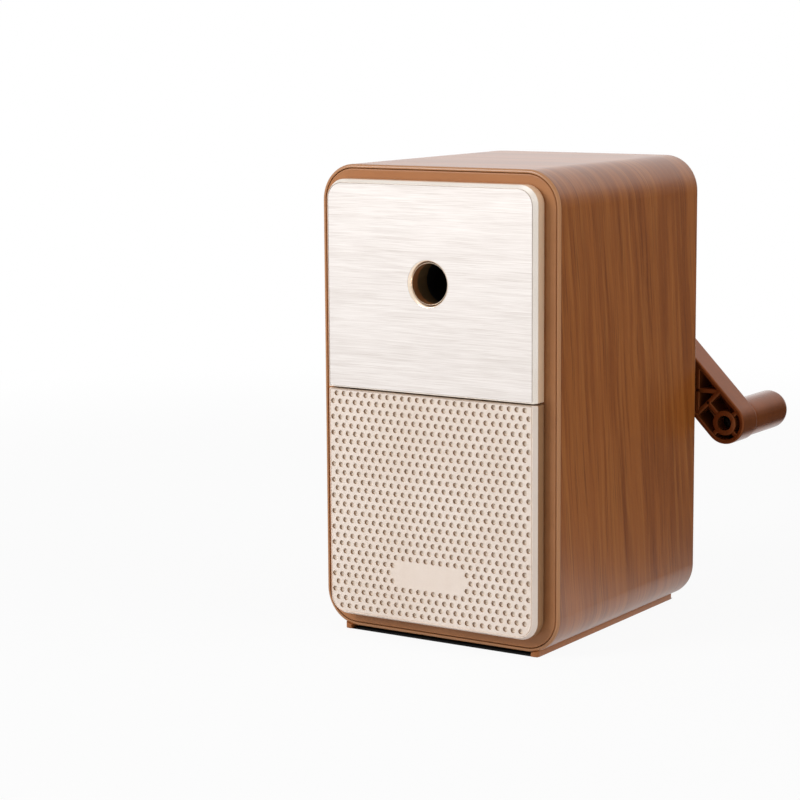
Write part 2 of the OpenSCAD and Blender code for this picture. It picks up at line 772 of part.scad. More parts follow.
module shaft_bush() {
    color("darkgoldenrod") on_axis() difference() {
        union() {
            rod_y(bush_r, housing_y - bush_flange_t, bush_end_y);
            rod_y(bush_r + 1.5, housing_y - bush_flange_t, housing_y);
        }
        rod_y(shaft_r + running, housing_y - cut, bush_end_y + cut);
    }
}

// Crank shaft with a square at each end and a groove for the retaining ring
module crank_shaft() {
    color("silver") on_crank() difference() {
        union() {
            rod_y(shaft_r, cage_end_y, arm_y);
            block([-drive_sq / 2, cage_boss_y + 0.4, -drive_sq / 2],
                [drive_sq / 2, drive_end_y, drive_sq / 2]);
        }
        difference() {
            rod_y(shaft_r + cut, clip_y, clip_y + clip_t + press);
            rod_y(groove_r, clip_y - cut, clip_y + clip_t + cut);
        }
        rod_y(screw_r + press, drive_end_y - crank_screw_l, drive_end_y + cut);
    }
}

module retaining_ring() {
    color("dimgray") on_crank() difference() {
        rod_y(shaft_r + 1.4, clip_y + press / 2, clip_y + clip_t);
        rod_y(groove_r + press, clip_y - cut, clip_y + clip_t + cut);
        block([0, clip_y - cut, -groove_r * 0.6], [shaft_r + 2, clip_y + clip_t + cut, groove_r * 0.6]);
    }
}

// Cage: a front disc with the pencil's bore, a shell under the cutter and a back disc with a boss
module cutter_cage() {
    color("darkslategray") difference() {
        on_axis() difference() {
            union() {
                rod_y(cage_r, cage_y, cage_end_y - cage_boss_l);
                rod_y(shaft_r + 3, cage_boss_y - eps, cage_end_y);
                translate([0, 0, front_lug_drop]) rod_y(lug_r, cage_y, cage_y + cage_front_t);
                block([-lug_r, cage_y, 0], [lug_r, cage_y + cage_front_t, front_lug_drop]);
            }
            rod_y(cage_r - cage_wall, cage_y + cage_front_t, cage_back_y);
            block([-cage_r - cut, cage_y + cage_front_t, pinion_clear_z],
                [cage_r + cut, cage_back_y, cage_r + cut]);
            rod_y(cage_bore / 2, cage_y - cut, cage_y + cage_front_t + cut);
        }
        on_axle() translate([0, 0, axle_front_s - cut])
            cylinder(r = axle_r + press, h = axle_back_s - axle_front_s + cut);
        on_crank() block([-drive_sq / 2 - press, cage_boss_y + 0.3, -drive_sq / 2 - press],
            [drive_sq / 2 + press, cage_end_y + cut, drive_sq / 2 + press]);
    }
}

module cutter_axle() {
    color("silver") on_axle() translate([0, 0, axle_front_s + 0.5])
        cylinder(r = axle_r, h = axle_back_s - axle_front_s - 0.6);
}

// Helical cutter with saw-shaped edges and a plain bore
module helical_cutter() {
    root_r = cutter_r - flute_d;
    step = 360 / cutter_edges;
    color("lightsteelblue") on_axle() difference() {
        translate([0, 0, cutter_front_s])
            linear_extrude(cutter_l, twist = flute_twist, slices = 24)
                polygon([for (i = [0 : cutter_edges - 1]) each [
                    cutter_r * [cos(i * step), sin(i * step)],
                    (root_r + flute_d * 0.6) * [cos((i + 0.35) * step), sin((i + 0.35) * step)],
                    root_r * [cos((i + 0.8) * step), sin((i + 0.8) * step)]
                ]]);
        translate([0, 0, cutter_front_s - cut])
            cylinder(r = axle_r + running, h = cutter_l + 2 * cut);
    }
}

// Pinion on the cutter's back end, with a tooth in the ring gear's top space
module cutter_pinion() {
    color("goldenrod") on_axle() difference() {
        union() {
            translate([0, 0, -pinion_t / 2]) linear_extrude(pinion_t) rotate(-90)
                gear_outline(pinion_teeth, pinion_pitch_r - dedendum, pinion_tip_r, -backlash);
            translate([0, 0, cutter_back_s])
                cylinder(r = axle_r + 1.6, h = -pinion_t / 2 - cutter_back_s + eps);
        }
        translate([0, 0, cutter_back_s - cut])
            cylinder(r = axle_r + running, h = pinion_t - cutter_back_s + 2 * cut);
    }
}

// Outline of the crank arm, drawn in by an inset
module arm_outline(inset = 0) {
    circle(arm_r - inset);
    translate([arm_len, 0]) circle(arm_r - inset);
    translate([0, -arm_r + inset]) square([arm_len, arm_w - 2 * inset]);
}

// Crank arm: a skin with a wall round it, a boss at each end and ribs between them
module crank_arm() {
    brace = pocket_r * 2;
    brace_start = grip_boss_r + 3.4;
    brace_count = floor((arm_len - brace_start - arm_r - 2) / brace);
    color("saddlebrown") on_crank() difference() {
        union() {
            difference() {
                along_y(arm_y, arm_back_y) arm_outline();
                along_y(arm_y - cut, arm_back_y - arm_skin) arm_outline(arm_wall);
            }
            rod_y(arm_r - eps, arm_y, arm_back_y - eps);
            translate([arm_len, 0, 0]) {
                rod_y(grip_boss_r, arm_y, arm_back_y - eps);
                block([-brace_start, rib_y, -arm_wall / 2], [pocket_r + eps, arm_back_y - eps, arm_wall / 2]);
                block([-arm_wall / 2, rib_y, -pocket_r - eps], [arm_wall / 2, arm_back_y - eps, pocket_r + eps]);
            }
            for (i = [0 : brace_count - 1])
                translate([arm_len - brace_start - (i + 0.5) * brace, 0, 0]) arm_brace(brace);
            translate([arm_len - brace_start, 0, 0]) arm_crossbar();
        }
        block([-drive_sq / 2 - press, arm_y - cut, -drive_sq / 2 - press],
            [drive_sq / 2 + press, arm_back_y - 1.6, drive_sq / 2 + press]);
        rod_y(screw_r + fit, arm_back_y - 1.6 - cut, arm_back_y + cut);
        rod_y(head_r + fit, arm_back_y - head_t, arm_back_y + cut);
        translate([arm_len, 0, 0]) {
            rod_y(grip_hole_r, arm_y - cut, grip_seat_y);
            rod_y(screw_r + running, grip_seat_y - eps, arm_back_y + cut);
        }
    }
}

// Two crossed ribs in a square stretch of the arm, and the bar that closes it
module arm_brace(size) {
    reach = size * sqrt(2) / 2 - arm_wall / 2;
    for (turn = [45, -45])
        rotate([0, turn, 0]) block([-reach, rib_y, -arm_wall / 2], [reach, arm_back_y - eps, arm_wall / 2]);
    translate([-size / 2, 0, 0]) arm_crossbar();
}

module arm_crossbar() {
    block([-arm_wall / 2, rib_y, -pocket_r - eps], [arm_wall / 2, arm_back_y - eps, pocket_r + eps]);
}

module crank_screw() {
    color("silver") on_crank() translate([0, arm_back_y - head_t, 0])
        rotate([-90, 0, 0]) screw(screw_r, crank_screw_l - 1, head_r, head_t);
}

// Grip with a rounded free end, which turns with its own screw
module grip() {
    color("sienna") on_crank() translate([arm_len, grip_y, 0]) rotate([-90, 0, 0]) difference() {
        rotate_extrude() {
            square([grip_r, grip_l - grip_round]);
            square([grip_r - grip_round, grip_l]);
            translate([grip_r - grip_round, grip_l - grip_round]) intersection() {
                circle(grip_round);
                square(grip_round);
            }
        }
        translate([0, 0, -cut]) cylinder(r = screw_r + press, h = cut + grip_screw_l - 2);
    }
}

module grip_screw() {
    color("silver") on_crank() translate([arm_len, grip_seat_y - running, 0])
        rotate([90, 0, 0]) screw(screw_r, grip_screw_l, grip_hole_r - fit, head_t);
}

// Drawer front: a hollow moulding with two screw bosses on the tray's front wall
module drawer_front() {
    color("antiquewhite") difference() {
        union() {
            difference() {
                panel_blank(panel_z, drawer_top_z, tray_y);
                along_y(panel_y + drawer_front_t, tray_y + cut)
                    panel_outline(panel_z + panel_wall, drawer_top_z - panel_wall, panel_wall);
            }
            at_drawer_screws() rod_y(boss_r, panel_y + drawer_front_t - eps, tray_y);
        }
        at_drawer_screws() rod_y(screw_r + press, tray_y - drawer_screw_l + tray_wall - press, tray_y + cut);
    }
}

module at_drawer_screws() {
    for (sx = [-1, 1]) translate([sx * drawer_screw_x, 0, drawer_screw_z]) children();
}

// Open tray for the shavings
module drawer_tray() {
    mid_z = (tray_z + tray_top_z) / 2;
    color("linen", 0.8) difference() {
        along_y(tray_y, tray_y + tray_l) translate([0, mid_z]) tray_outline(0);
        along_y(tray_y + tray_wall, tray_y + tray_l - tray_wall) translate([0, mid_z]) tray_outline(tray_wall);
        block([-tray_w / 2 + tray_wall, tray_y + tray_wall, mid_z],
            [tray_w / 2 - tray_wall, tray_y + tray_l - tray_wall, tray_top_z + cut]);
        at_drawer_screws() rod_y(screw_r + fit, tray_y - cut, tray_y + tray_wall + cut);
    }
}

// Cross-section of the tray with round bottom corners
module tray_outline(inset) {
    rounded_rect(tray_w - 2 * inset, tray_h - 2 * inset, tray_r - min(inset, tray_r - 0.5));
    translate([-tray_w / 2 + inset, 0]) square([tray_w - 2 * inset, tray_h / 2 - inset]);
}

module drawer_screws() {
    color("silver") at_drawer_screws() translate([0, tray_y + tray_wall, 0])
        rotate([-90, 0, 0]) screw(screw_r, drawer_screw_l, head_r, head_t);
}

sleeve();
front_frame();
back_cover();
base_plate();
rubber_pad();
base_screws();
top_panel();
brushed_plate();
hole_ring();
pencil_nozzle();
pencil_guide();
frame_screws();
chassis();
drawer_guide();
cover_screws();
gear_housing();
housing_screws();
ring_gear();
shaft_bush();
crank_shaft();
retaining_ring();
cutter_cage();
cutter_axle();
helical_cutter();
cutter_pinion();
crank_arm();
crank_screw();
grip();
grip_screw();
drawer_front();
drawer_tray();
drawer_screws();
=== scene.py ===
"""Crank pencil sharpener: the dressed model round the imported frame.

Shapes are made in millimetres, and make_mesh() turns them into metres. Node trees work in metres,
but for Finish.coords(), which gives millimetres.
"""
import json
import math

import bmesh
import bpy
from mathutils import Matrix, Vector


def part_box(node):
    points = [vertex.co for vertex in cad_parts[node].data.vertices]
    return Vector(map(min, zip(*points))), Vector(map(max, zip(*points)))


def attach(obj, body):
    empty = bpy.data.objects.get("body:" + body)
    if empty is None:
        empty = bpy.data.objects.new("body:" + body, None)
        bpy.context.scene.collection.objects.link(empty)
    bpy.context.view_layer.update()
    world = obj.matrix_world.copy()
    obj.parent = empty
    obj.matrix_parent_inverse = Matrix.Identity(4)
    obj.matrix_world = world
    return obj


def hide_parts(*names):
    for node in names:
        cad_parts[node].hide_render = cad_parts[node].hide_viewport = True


bl_info = {
    "name": "Crank Pencil Sharpener",
    "version": (1, 0, 0),
    "blender": (4, 5, 0),
    "location": "3D View > Sidebar > Sharpener",
    "description": "Builds a desk pencil sharpener with a drawer and a crank",
    "category": "Object",
}

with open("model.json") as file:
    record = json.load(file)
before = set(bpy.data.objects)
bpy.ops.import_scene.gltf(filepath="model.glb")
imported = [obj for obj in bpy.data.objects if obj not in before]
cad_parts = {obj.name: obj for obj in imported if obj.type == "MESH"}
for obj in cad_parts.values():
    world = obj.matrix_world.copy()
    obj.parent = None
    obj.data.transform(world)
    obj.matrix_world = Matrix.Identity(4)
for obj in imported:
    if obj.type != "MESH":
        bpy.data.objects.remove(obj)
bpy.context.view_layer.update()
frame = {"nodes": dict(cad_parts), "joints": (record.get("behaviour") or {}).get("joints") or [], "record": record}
MM = 0.001
SAME = 0.01     # CAD points closer than this lie on one plane
QUARTER = math.radians(90)
JOINTS = {joint["name"]: joint for joint in frame["joints"]}


def edges(node):
    """Lowest and highest corner of a CAD node, in millimetres."""
    low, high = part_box(node)
    return low / MM, high / MM


def cad_points(node):
    """Every vertex of a CAD node, in millimetres."""
    return [vert.co / MM for vert in frame["nodes"][node].data.vertices]


CASE_LOW, CASE_HIGH = edges("sleeve")
UPPER_LOW, UPPER_HIGH = edges("top_panel")
DRAWER_LOW, DRAWER_HIGH = edges("drawer_front")
FRONT_Y, REAR_Y = CASE_LOW.y, CASE_HIGH.y
PANEL_Y, PANEL_BACK_Y = UPPER_LOW.y, DRAWER_HIGH.y
SPLIT_Z, PANEL_TOP_Z = UPPER_LOW.z, UPPER_HIGH.z
PANEL_Z, DRAWER_TOP_Z = DRAWER_LOW.z, DRAWER_HIGH.z
PANEL_W = UPPER_HIGH.x - UPPER_LOW.x
AXIS_Z = JOINTS["crank_spin"]["pos_m"][2] / MM
HOLE_R = next(m["dims"]["r_mm"] for m in frame["record"]["mounts"] if m["kind"] == "bore")
GRIP_AXIS = Vector(JOINTS["grip_spin"]["pos_m"]) / MM
ARM_LEN = math.hypot(GRIP_AXIS.x, GRIP_AXIS.z - AXIS_Z)
ARM_ANGLE = math.atan2(GRIP_AXIS.z - AXIS_Z, GRIP_AXIS.x)


# ---------------------------------------------------------------- outlines

LEAD = 0.25     # straight stretch past each end of an arc, which keeps the long faces flat
LEAST_R = 0.4   # corners aren't drawn in to less than this


def arc(cx, cz, r, start, sweep=90, steps=14):
    """Arc of (x, z) points from an angle in degrees, with its straight stretches."""
    a0, a1 = math.radians(start), math.radians(start + sweep)
    points = []
    for i in range(steps + 1):
        a = a0 + (a1 - a0) * i / steps
        points.append((cx + r * math.cos(a), cz + r * math.sin(a)))
    (x0, z0), (x1, z1) = points[0], points[-1]
    before = (x0 + LEAD * math.sin(a0), z0 - LEAD * math.cos(a0))
    after = (x1 - LEAD * math.sin(a1), z1 + LEAD * math.cos(a1))
    return [before] + points + [after]


def corner_loop(width, low_z, high_z, low_r, high_r):
    """Rounded rectangle in X and Z, anticlockwise from its lower right corner."""
    half = width / 2
    return (arc(half - low_r, low_z + low_r, low_r, -90) + arc(half - high_r, high_z - high_r, high_r, 0)
            + arc(high_r - half, high_z - high_r, high_r, 90) + arc(low_r - half, low_z + low_r, low_r, 180))


def stadium_loop(length, radius):
    """Bar with round ends, from the origin to (length, 0)."""
    return arc(length, 0, radius, -90, 180, 24) + arc(0, 0, radius, 90, 180, 24)


def circle_loop(radius, steps):
    angles = [2 * math.pi * i / steps for i in range(steps)]
    return [(radius * math.cos(a), radius * math.sin(a)) for a in angles]


def standing(points, y, cx=0.0, cz=0.0):
    """Ring of (x, y, z) from an outline of (x, z)."""
    return [(x + cx, y, z + cz) for x, z in points]


def fillet(y0, inset0, y1, inset1, steps, from_side=False):
    """Quarter ellipse of (y, inset) pairs, which starts along the front or along the side."""
    pairs = []
    for i in range(steps + 1):
        a = math.radians(90 * i / steps)
        along, across = 1 - math.cos(a), math.sin(a)
        if from_side:
            along, across = across, along
        pairs.append((y0 + (y1 - y0) * along, inset0 + (inset1 - inset0) * across))
    return pairs


def mirrored(pairs):
    """(y, inset) pairs moved from the case's front to its rear, still from front to back."""
    return [(FRONT_Y + REAR_Y - y, inset) for y, inset in reversed(pairs)]


# ---------------------------------------------------------------- objects

MERGE = 2e-6    # metres; vertices closer than this are one


def add_object(name, data):
    obj = bpy.data.objects.new(name, data)
    bpy.context.scene.collection.objects.link(obj)
    return obj


def make_mesh(name, verts, faces, lines=()):
    """Object from vertices in millimetres."""
    mesh = bpy.data.meshes.new(name)
    mesh.from_pydata([(x * MM, y * MM, z * MM) for x, y, z in verts], lines, faces)
    mesh.validate()
    return add_object(name, mesh)


def loft(name, rings, closed=False, caps=(True, True)):
    """Skin over rings of (x, y, z), the front one first. A closed skin runs round a tube's wall."""
    count, total = len(rings[0]), len(rings)
    faces = []
    for k in range(total if closed else total - 1):
        a, b = k * count, (k + 1) % total * count
        for i in range(count):
            j = (i + 1) % count
            faces.append((a + i, b + i, b + j, a + j))
    front_cap, rear_cap = (False, False) if closed else caps
    if front_cap:
        faces.append(tuple(range(count)))
    if rear_cap:
        faces.append(tuple(reversed(range((total - 1) * count, total * count))))
    return make_mesh(name, [point for ring in rings for point in ring], faces)


def lathe(name, profile, steps, cx=0.0, cz=0.0, closed=True):
    """Skin of (radius, y) pairs turned round an axis along Y. Outer faces run from front to back."""
    return loft(name, [standing(circle_loop(r, steps), y, cx, cz) for r, y in profile], closed)


def rod(name, radius, y0, y1, cx=0.0, cz=0.0, steps=48):
    return lathe(name, [(radius, y0), (radius, y1)], steps, cx, cz, closed=False)


def prism(name, points, y0, y1):
    return loft(name, [standing(points, y0), standing(points, y1)])


def block(name, low, high):
    (x0, y0, z0), (x1, y1, z1) = low, high
    return prism(name, [(x0, z0), (x1, z0), (x1, z1), (x0, z1)], y0, y1)


def bake(obj):
    """Turns an object's evaluated shape into its own plain mesh and takes its modifiers off."""
    graph = bpy.context.evaluated_depsgraph_get()
    mesh = bpy.data.meshes.new_from_object(obj.evaluated_get(graph))
    old = obj.data
    obj.modifiers.clear()
    obj.data = mesh
    bpy.data.meshes.remove(old)


def remove(obj):
    mesh = obj.data
    bpy.data.objects.remove(obj)
    if mesh.users == 0:
        bpy.data.meshes.remove(mesh)


def join(target, others):
    """Adds the other objects' meshes to the target's, without cutting, and uses them up."""
    bm = bmesh.new()
    for obj in [target] + others:
        bm.from_mesh(obj.data)
    bm.to_mesh(target.data)
    bm.free()
    for obj in others:
        remove(obj)


def carve(obj, others, operation="DIFFERENCE"):
    """Cuts other objects out of one and uses them up."""
    for other in others:
        modifier = obj.modifiers.new("shape", "BOOLEAN")
        modifier.operation = operation
        modifier.solver = "EXACT"
        modifier.object = other
        bake(obj)
        remove(other)


def fuse(obj, others):
    """Makes other objects one solid with an object and uses them up."""
    carve(obj, others, "UNION")


def weld(obj, distance, flat_angle=0.0):
    """Merges vertices within a distance in metres, and faces within an angle."""
    bm = bmesh.new()
    bm.from_mesh(obj.data)
    bmesh.ops.remove_doubles(bm, verts=bm.verts, dist=distance)
    if flat_angle:
        bmesh.ops.dissolve_limit(bm, angle_limit=flat_angle, verts=bm.verts, edges=bm.edges)
    bm.to_mesh(obj.data)
    bm.free()


def eased_copy(node, name, bevel):
    """Merged copy of a CAD node's mesh with its edges eased by a bevel in millimetres."""
    obj = add_object(name, frame["nodes"][node].data.copy())
    weld(obj, MERGE, math.radians(1))
    modifier = obj.modifiers.new("edges", "BEVEL")
    modifier.width = bevel * MM
    modifier.segments = 2
    modifier.limit_method = "ANGLE"
    modifier.angle_limit = math.radians(40)
    bake(obj)
    return obj


def finish_piece(obj, body, node, material, angle=30):
    """Shades a piece, gives it its finish, hangs it on its body's empty and hides the CAD node that it stands for.
    """
    mesh = obj.data
    mesh.materials.clear()
    mesh.materials.append(material)
    for polygon in mesh.polygons:
        polygon.material_index = 0
        polygon.use_smooth = True
    mesh.set_sharp_from_angle(angle=math.radians(angle))
    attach(obj, body)
    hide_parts(node)


def islands(node):
    """Lowest and highest corners of the separate solids in a CAD node, in millimetres."""
    bm = bmesh.new()
    bm.from_mesh(frame["nodes"][node].data)
    bmesh.ops.remove_doubles(bm, verts=bm.verts, dist=MERGE)
    seen, found = set(), []
    for start in bm.verts:
        if start in seen:
            continue
        seen.add(start)
        island = [start]
        for vert in island:
            fresh = {link.other_vert(vert) for link in vert.link_edges} - seen
            seen |= fresh
            island.extend(fresh)
        low, high = (Vector([pick(v.co[i] for v in island) for i in range(3)]) / MM for pick in (min, max))
        found.append((low, high))
    bm.free()
    return found


def radii(node, y):
    """Radii about the pencil's axis of a turned CAD node's edges at one depth, smallest first."""
    return sorted({round(math.hypot(p.x, p.z - AXIS_Z), 2) for p in cad_points(node) if abs(p.y - y) < SAME})


# ---------------------------------------------------------------- node trees

def operator(operation, swapped=False):
    """A method of Socket that adds a Math node. A swapped one takes the other value first."""
    def method(self, other):
        return self.tree.node("ShaderNodeMath", {"operation": operation},
                              [other, self] if swapped else [self, other])
    return method


class Socket:
    """A node socket that takes part in Python expressions."""

    def __init__(self, tree, socket):
        self.tree = tree
        self.socket = socket

    __add__ = __radd__ = operator("ADD")
    __sub__ = operator("SUBTRACT")
    __rsub__ = operator("SUBTRACT", swapped=True)
    __mul__ = __rmul__ = operator("MULTIPLY")
    __truediv__ = operator("DIVIDE")
    __rtruediv__ = operator("DIVIDE", swapped=True)
    __pow__ = operator("POWER")
    __mod__ = operator("FLOORED_MODULO")
    __lt__ = operator("LESS_THAN")
    __gt__ = operator("GREATER_THAN")
    least = operator("MAXIMUM")     # the value, but at least the other one
    most = operator("MINIMUM")      # the value, but at most the other one

    def calc(self, operation):
        return self.tree.node("ShaderNodeMath", {"operation": operation}, [self])

    def clamp(self, low=0.0, high=1.0):
        return self.tree.node("ShaderNodeClamp", {}, [self, low, high])

    def ramp(self, low, high):
        """Smooth step from 0 at low to 1 at high."""
        return self.tree.node("ShaderNodeMapRange", {"interpolation_type": "SMOOTHSTEP"}, [self, low, high])


class Tree:
    """Adds nodes to a shader or geometry tree."""

    def __init__(self, tree):
        self.tree = tree

    def node(self, kind, settings=None, inputs=(), output=0):
        """Adds one node: its settings come first, then its inputs by place or by name."""
        made = self.tree.nodes.new(kind)
        for key, value in (settings or {}).items():
            setattr(made, key, value)
        for key, value in inputs.items() if isinstance(inputs, dict) else enumerate(inputs):
            self.feed(made.inputs[key], value)
        return Socket(self, made.outputs[output])

    def feed(self, target, value):
        """Links a socket to an input, or sets the input to a value."""
        if isinstance(value, Socket):
            self.tree.links.new(value.socket, target)
        else:
            target.default_value = value

    def output_of(self, socket, name):
        """Another output of the node that a socket belongs to."""
        return Socket(self, socket.socket.node.outputs[name])

    def split(self, vector):
        """The three values of a vector."""
        x = self.node("ShaderNodeSeparateXYZ", {}, [vector])
        return x, self.output_of(x, "Y"), self.output_of(x, "Z")

    def gather(self, x, y, z):
        return self.node("ShaderNodeCombineXYZ", {}, [x, y, z])


class Pattern(Tree):
    """Geometry tree with named inputs. It ends in Realize Instances and Set Material."""

    def __init__(self, name, inputs):
        """Inputs are rows of name, kind and default; the geometry and the finish are added to them."""
        super().__init__(bpy.data.node_groups.new(name, "GeometryNodeTree"))
        face = self.tree.interface
        for label, kind, default in [("Geometry", "Geometry", None), *inputs, ("Finish", "Material", None)]:
            made = face.new_socket(label, in_out="INPUT", socket_type="NodeSocket" + kind)
            if default is not None:
                made.default_value = default
        face.new_socket("Geometry", in_out="OUTPUT", socket_type="NodeSocketGeometry")
        outputs = self.tree.nodes.new("NodeGroupInput").outputs
        self.given = {socket.name: Socket(self, socket) for socket in outputs if socket.name}

    def shape(self, label):
        """The mesh of an object that comes in by an input."""
        return self.node("GeometryNodeObjectInfo", {}, {"Object": self.given[label]}, "Geometry")

    def points(self, count, x, y, z):
        return self.node("GeometryNodePoints", {}, {"Count": count, "Position": self.gather(x, y, z)})

    def instances(self, points, shape, **more):
        return self.node("GeometryNodeInstanceOnPoints", {}, {"Points": points, "Instance": shape, **more})

    def realized(self, instances):
        return self.node("GeometryNodeRealizeInstances", {}, [instances])

    def joined(self, parts):
        made = self.node("GeometryNodeJoinGeometry")
        for part in parts:
            self.feed(made.socket.node.inputs[0], part)
        return made

    def end(self, geometry):
        """Makes the instances real, gives them the finish and leads them out."""
        painted = self.node("GeometryNodeSetMaterial", {},
                            {"Geometry": self.realized(geometry), "Material": self.given["Finish"]})
        self.feed(self.tree.nodes.new("NodeGroupOutput").inputs[0], painted)

    def run(self, obj, values):
        """Puts the tree on an object, sets its inputs by identifier and bakes the result."""
        modifier = obj.modifiers.new(self.tree.name, "NODES")
        modifier.node_group = self.tree
        for item in self.tree.interface.items_tree:
            if item.in_out == "INPUT" and item.name in values:
                modifier[item.identifier] = values[item.name]
        bake(obj)


class Surface(Tree):
    """Nodes of a material or a world, emptied down to the output."""

    def __init__(self, owner, kind="ShaderNodeOutputMaterial"):
        owner.use_nodes = True
        super().__init__(owner.node_tree)
        self.tree.nodes.clear()
        self.out = self.tree.nodes.new(kind)

    def end(self, shader):
        self.feed(self.out.inputs["Surface"], shader)

    def rays(self):
        """1 for rays that should see the plain white background, and 1 for rays of a reflection."""
        camera = self.node("ShaderNodeLightPath", output="Is Camera Ray")
        seen = (camera + self.output_of(camera, "Is Transmission Ray")).clamp()
        return seen, self.output_of(camera, "Is Glossy Ray")


class Finish(Surface):
    """One procedural finish: a Principled shader with helpers for patterns."""

    def __init__(self, name):
        self.material = bpy.data.materials.new(name)
        super().__init__(self.material)
        self.shader = self.node("ShaderNodeBsdfPrincipled")
        self.end(self.shader)
        self.place = self.node("ShaderNodeTexCoord", output="Object")

    def made(self, **values):
        """Sets or links the shader's sockets, with _ for a space in a name, and gives the material."""
        for key, value in values.items():
            self.feed(self.shader.socket.node.inputs[key.replace("_", " ")], value)
        return self.material

    def coords(self, scale=(1, 1, 1)):
        """Object coordinates in millimetres, scaled."""
        return self.node("ShaderNodeMapping", {"vector_type": "POINT"},
                         {"Vector": self.place, "Scale": tuple(s / MM for s in scale)})

    def noise(self, where, detail, rough=0.5, scale=1.0):
        """Noise at a vector, or at the coordinates times one factor or three."""
        if not isinstance(where, Socket):
            where = self.coords(where if isinstance(where, tuple) else (where,) * 3)
        return self.node("ShaderNodeTexNoise", {},
                         {"Vector": where, "Scale": scale, "Detail": detail, "Roughness": rough})

    def mix(self, factor, a, b):
        """Colour between a and b."""
        return self.node("ShaderNodeMix", {"data_type": "RGBA"}, {0: factor, 6: a, 7: b}, output=2)

    def bump(self, height, strength, distance):
        """Normal from a height in 0 to 1; the distance is in millimetres."""
        return self.node("ShaderNodeBump", {},
                         {"Height": height, "Strength": strength, "Distance": distance * MM})


# ---------------------------------------------------------------- finishes

def linear(r, g, b):
    """Linear colour from the sRGB values 0 to 255."""
    def one(v):
        v /= 255
        return v / 12.92 if v <= 0.04045 else ((v + 0.055) / 1.055) ** 2.4
    return (one(r), one(g), one(b), 1.0)


def moulded(name, colour, shade, rough, relief=0.008, ior=1.45, metal=0.0):
    """Moulded plastic: faint cloudiness, flow lines and a fine spark-eroded texture."""
    f = Finish(name)
    cloud = f.noise(0.05, 3)
    flow = f.noise((0.02, 0.6, 0.25), 4, 0.6)
    fine = f.noise(1, 2, scale=8)
    tone = (cloud * 0.6 + flow * 0.4).ramp(0.3, 0.7)
    return f.made(Base_Color=f.mix(tone, shade, colour), IOR=ior, Metallic=metal,
                  Roughness=rough + (fine - 0.5) * 0.16 + (cloud - 0.5) * 0.1,
                  Normal=f.bump(fine, 0.35, relief))


def nozzle_brown(colour, bore_shade_colour, from_y):
    """Brown moulding with painted shade deep in its bore, behind a depth in millimetres: a mottled dark colour
    stands in for the shade there.
    """
    f = Finish("nozzle_brown")
    y = f.split(f.coords())[1]
    bore_mottle = f.noise(0.5, 4, 0.6)
    # Painted shade: behind from_y the brown gives way to the dark colour, along a mottled edge.
    bore_shade_mask = (y + (bore_mottle - 0.5) * 1.2).ramp(from_y - 0.5, from_y + 0.3)
    base = f.mix(bore_shade_mask, f.mix(bore_mottle * 0.4, colour, bore_shade_colour), bore_shade_colour)
    return f.made(Base_Color=base, Roughness=0.4 + bore_shade_mask * 0.3,
                  Normal=f.bump(f.noise(1, 2, scale=8), 0.35, 0.006))


def turned_metal(name, colour, shade, rough, stretch, relief=0.003):
    """Bare metal with fine tool marks, close along the axes with a high stretch, and faint stains."""
    f = Finish(name)
    marks = f.noise(stretch, 5, 0.7)
    stain = f.noise(0.12, 3)
    return f.made(Base_Color=f.mix(marks * 0.5 + stain * 0.5, shade, colour), Metallic=1.0,
                  Roughness=(rough + (marks - 0.5) * 0.22 + (stain - 0.5) * 0.12).clamp(0.06, 0.9),
                  Normal=f.bump(marks, 0.3, relief))


def wood_print(colour, light, dark, line, bare):
    """Satin film with a wood grain: streaks that run round the tube and lean back towards the ground.

    The film ends where the rims start to round, and the rims show the bare moulding.
    """
    f = Finish("wood_print")
    x, y, z = f.split(f.coords())
    sway = (f.noise((0.020, 0.05, 0.020), 2) - 0.5) * 5.0
    run = y + z * 0.12 + sway

    def grain(along, across, detail, rough):
        return f.noise(f.gather(x * along, run * across, z * along), detail, rough)

    broad = grain(0.012, 0.16, 2, 0.45)
    streak = grain(0.026, 0.62, 5, 0.68)
    thread = grain(0.040, 2.1, 3, 0.6)
    pore = grain(0.20, 5.0, 2, 0.5)
    fine = f.noise(1, 2, scale=6)
    edge = (y - (FRONT_Y + REAR_Y) / 2).calc("ABSOLUTE")
    film_end = (REAR_Y - FRONT_Y) / 2 - size("film_end")
    base = f.mix(broad.ramp(0.36, 0.64) * 0.8 + 0.1, dark, colour)
    for amount, tone in (
            (streak.ramp(0.47, 0.66) * 0.6, light),
            ((1 - streak).ramp(0.52, 0.64) * 0.7, dark),
            ((1 - thread).ramp(0.54, 0.66) * 0.55, line),
            (pore.ramp(0.60, 0.80) * 0.22, line),
            (edge.ramp(film_end - 0.18, film_end - 0.02) * 0.7, line),
            (edge.ramp(film_end + 0.02, film_end + 0.16), bare)):
        base = f.mix(amount, base, tone)
    return f.made(Base_Color=base, Roughness=0.33 + (thread - 0.5) * 0.12 + (fine - 0.5) * 0.08, IOR=1.56,
                  Normal=f.bump(thread * 0.6 + fine * 0.4, 0.25, 0.006))


def brushed_sheet(colour, shade):
    """Brushed aluminium: long fine lines across the sheet, slightly wavy."""
    f = Finish("brushed_sheet")
    x, y, z = f.split(f.coords())
    height = z + (f.noise(0.05, 2) - 0.5) * 0.5
    line = f.noise(f.gather(x * 0.07, y, height * 5.5), 4, 0.75)
    band = f.noise(f.gather(x * 0.02, y, height * 1.1), 3, 0.6)
    hair = f.noise(f.gather(x * 0.16, y, height * 14.0), 2)
    tone = (line * 0.5 + band * 0.15 + hair * 0.35).ramp(0.32, 0.62)
    return f.made(Base_Color=f.mix(tone, shade, colour), Metallic=0.85,
                  Roughness=(0.42 + (line - 0.5) * 0.3 + (hair - 0.5) * 0.15).clamp(0.2, 0.7),
                  Normal=f.bump(line * 0.5 + hair * 0.5, 0.35, 0.005))


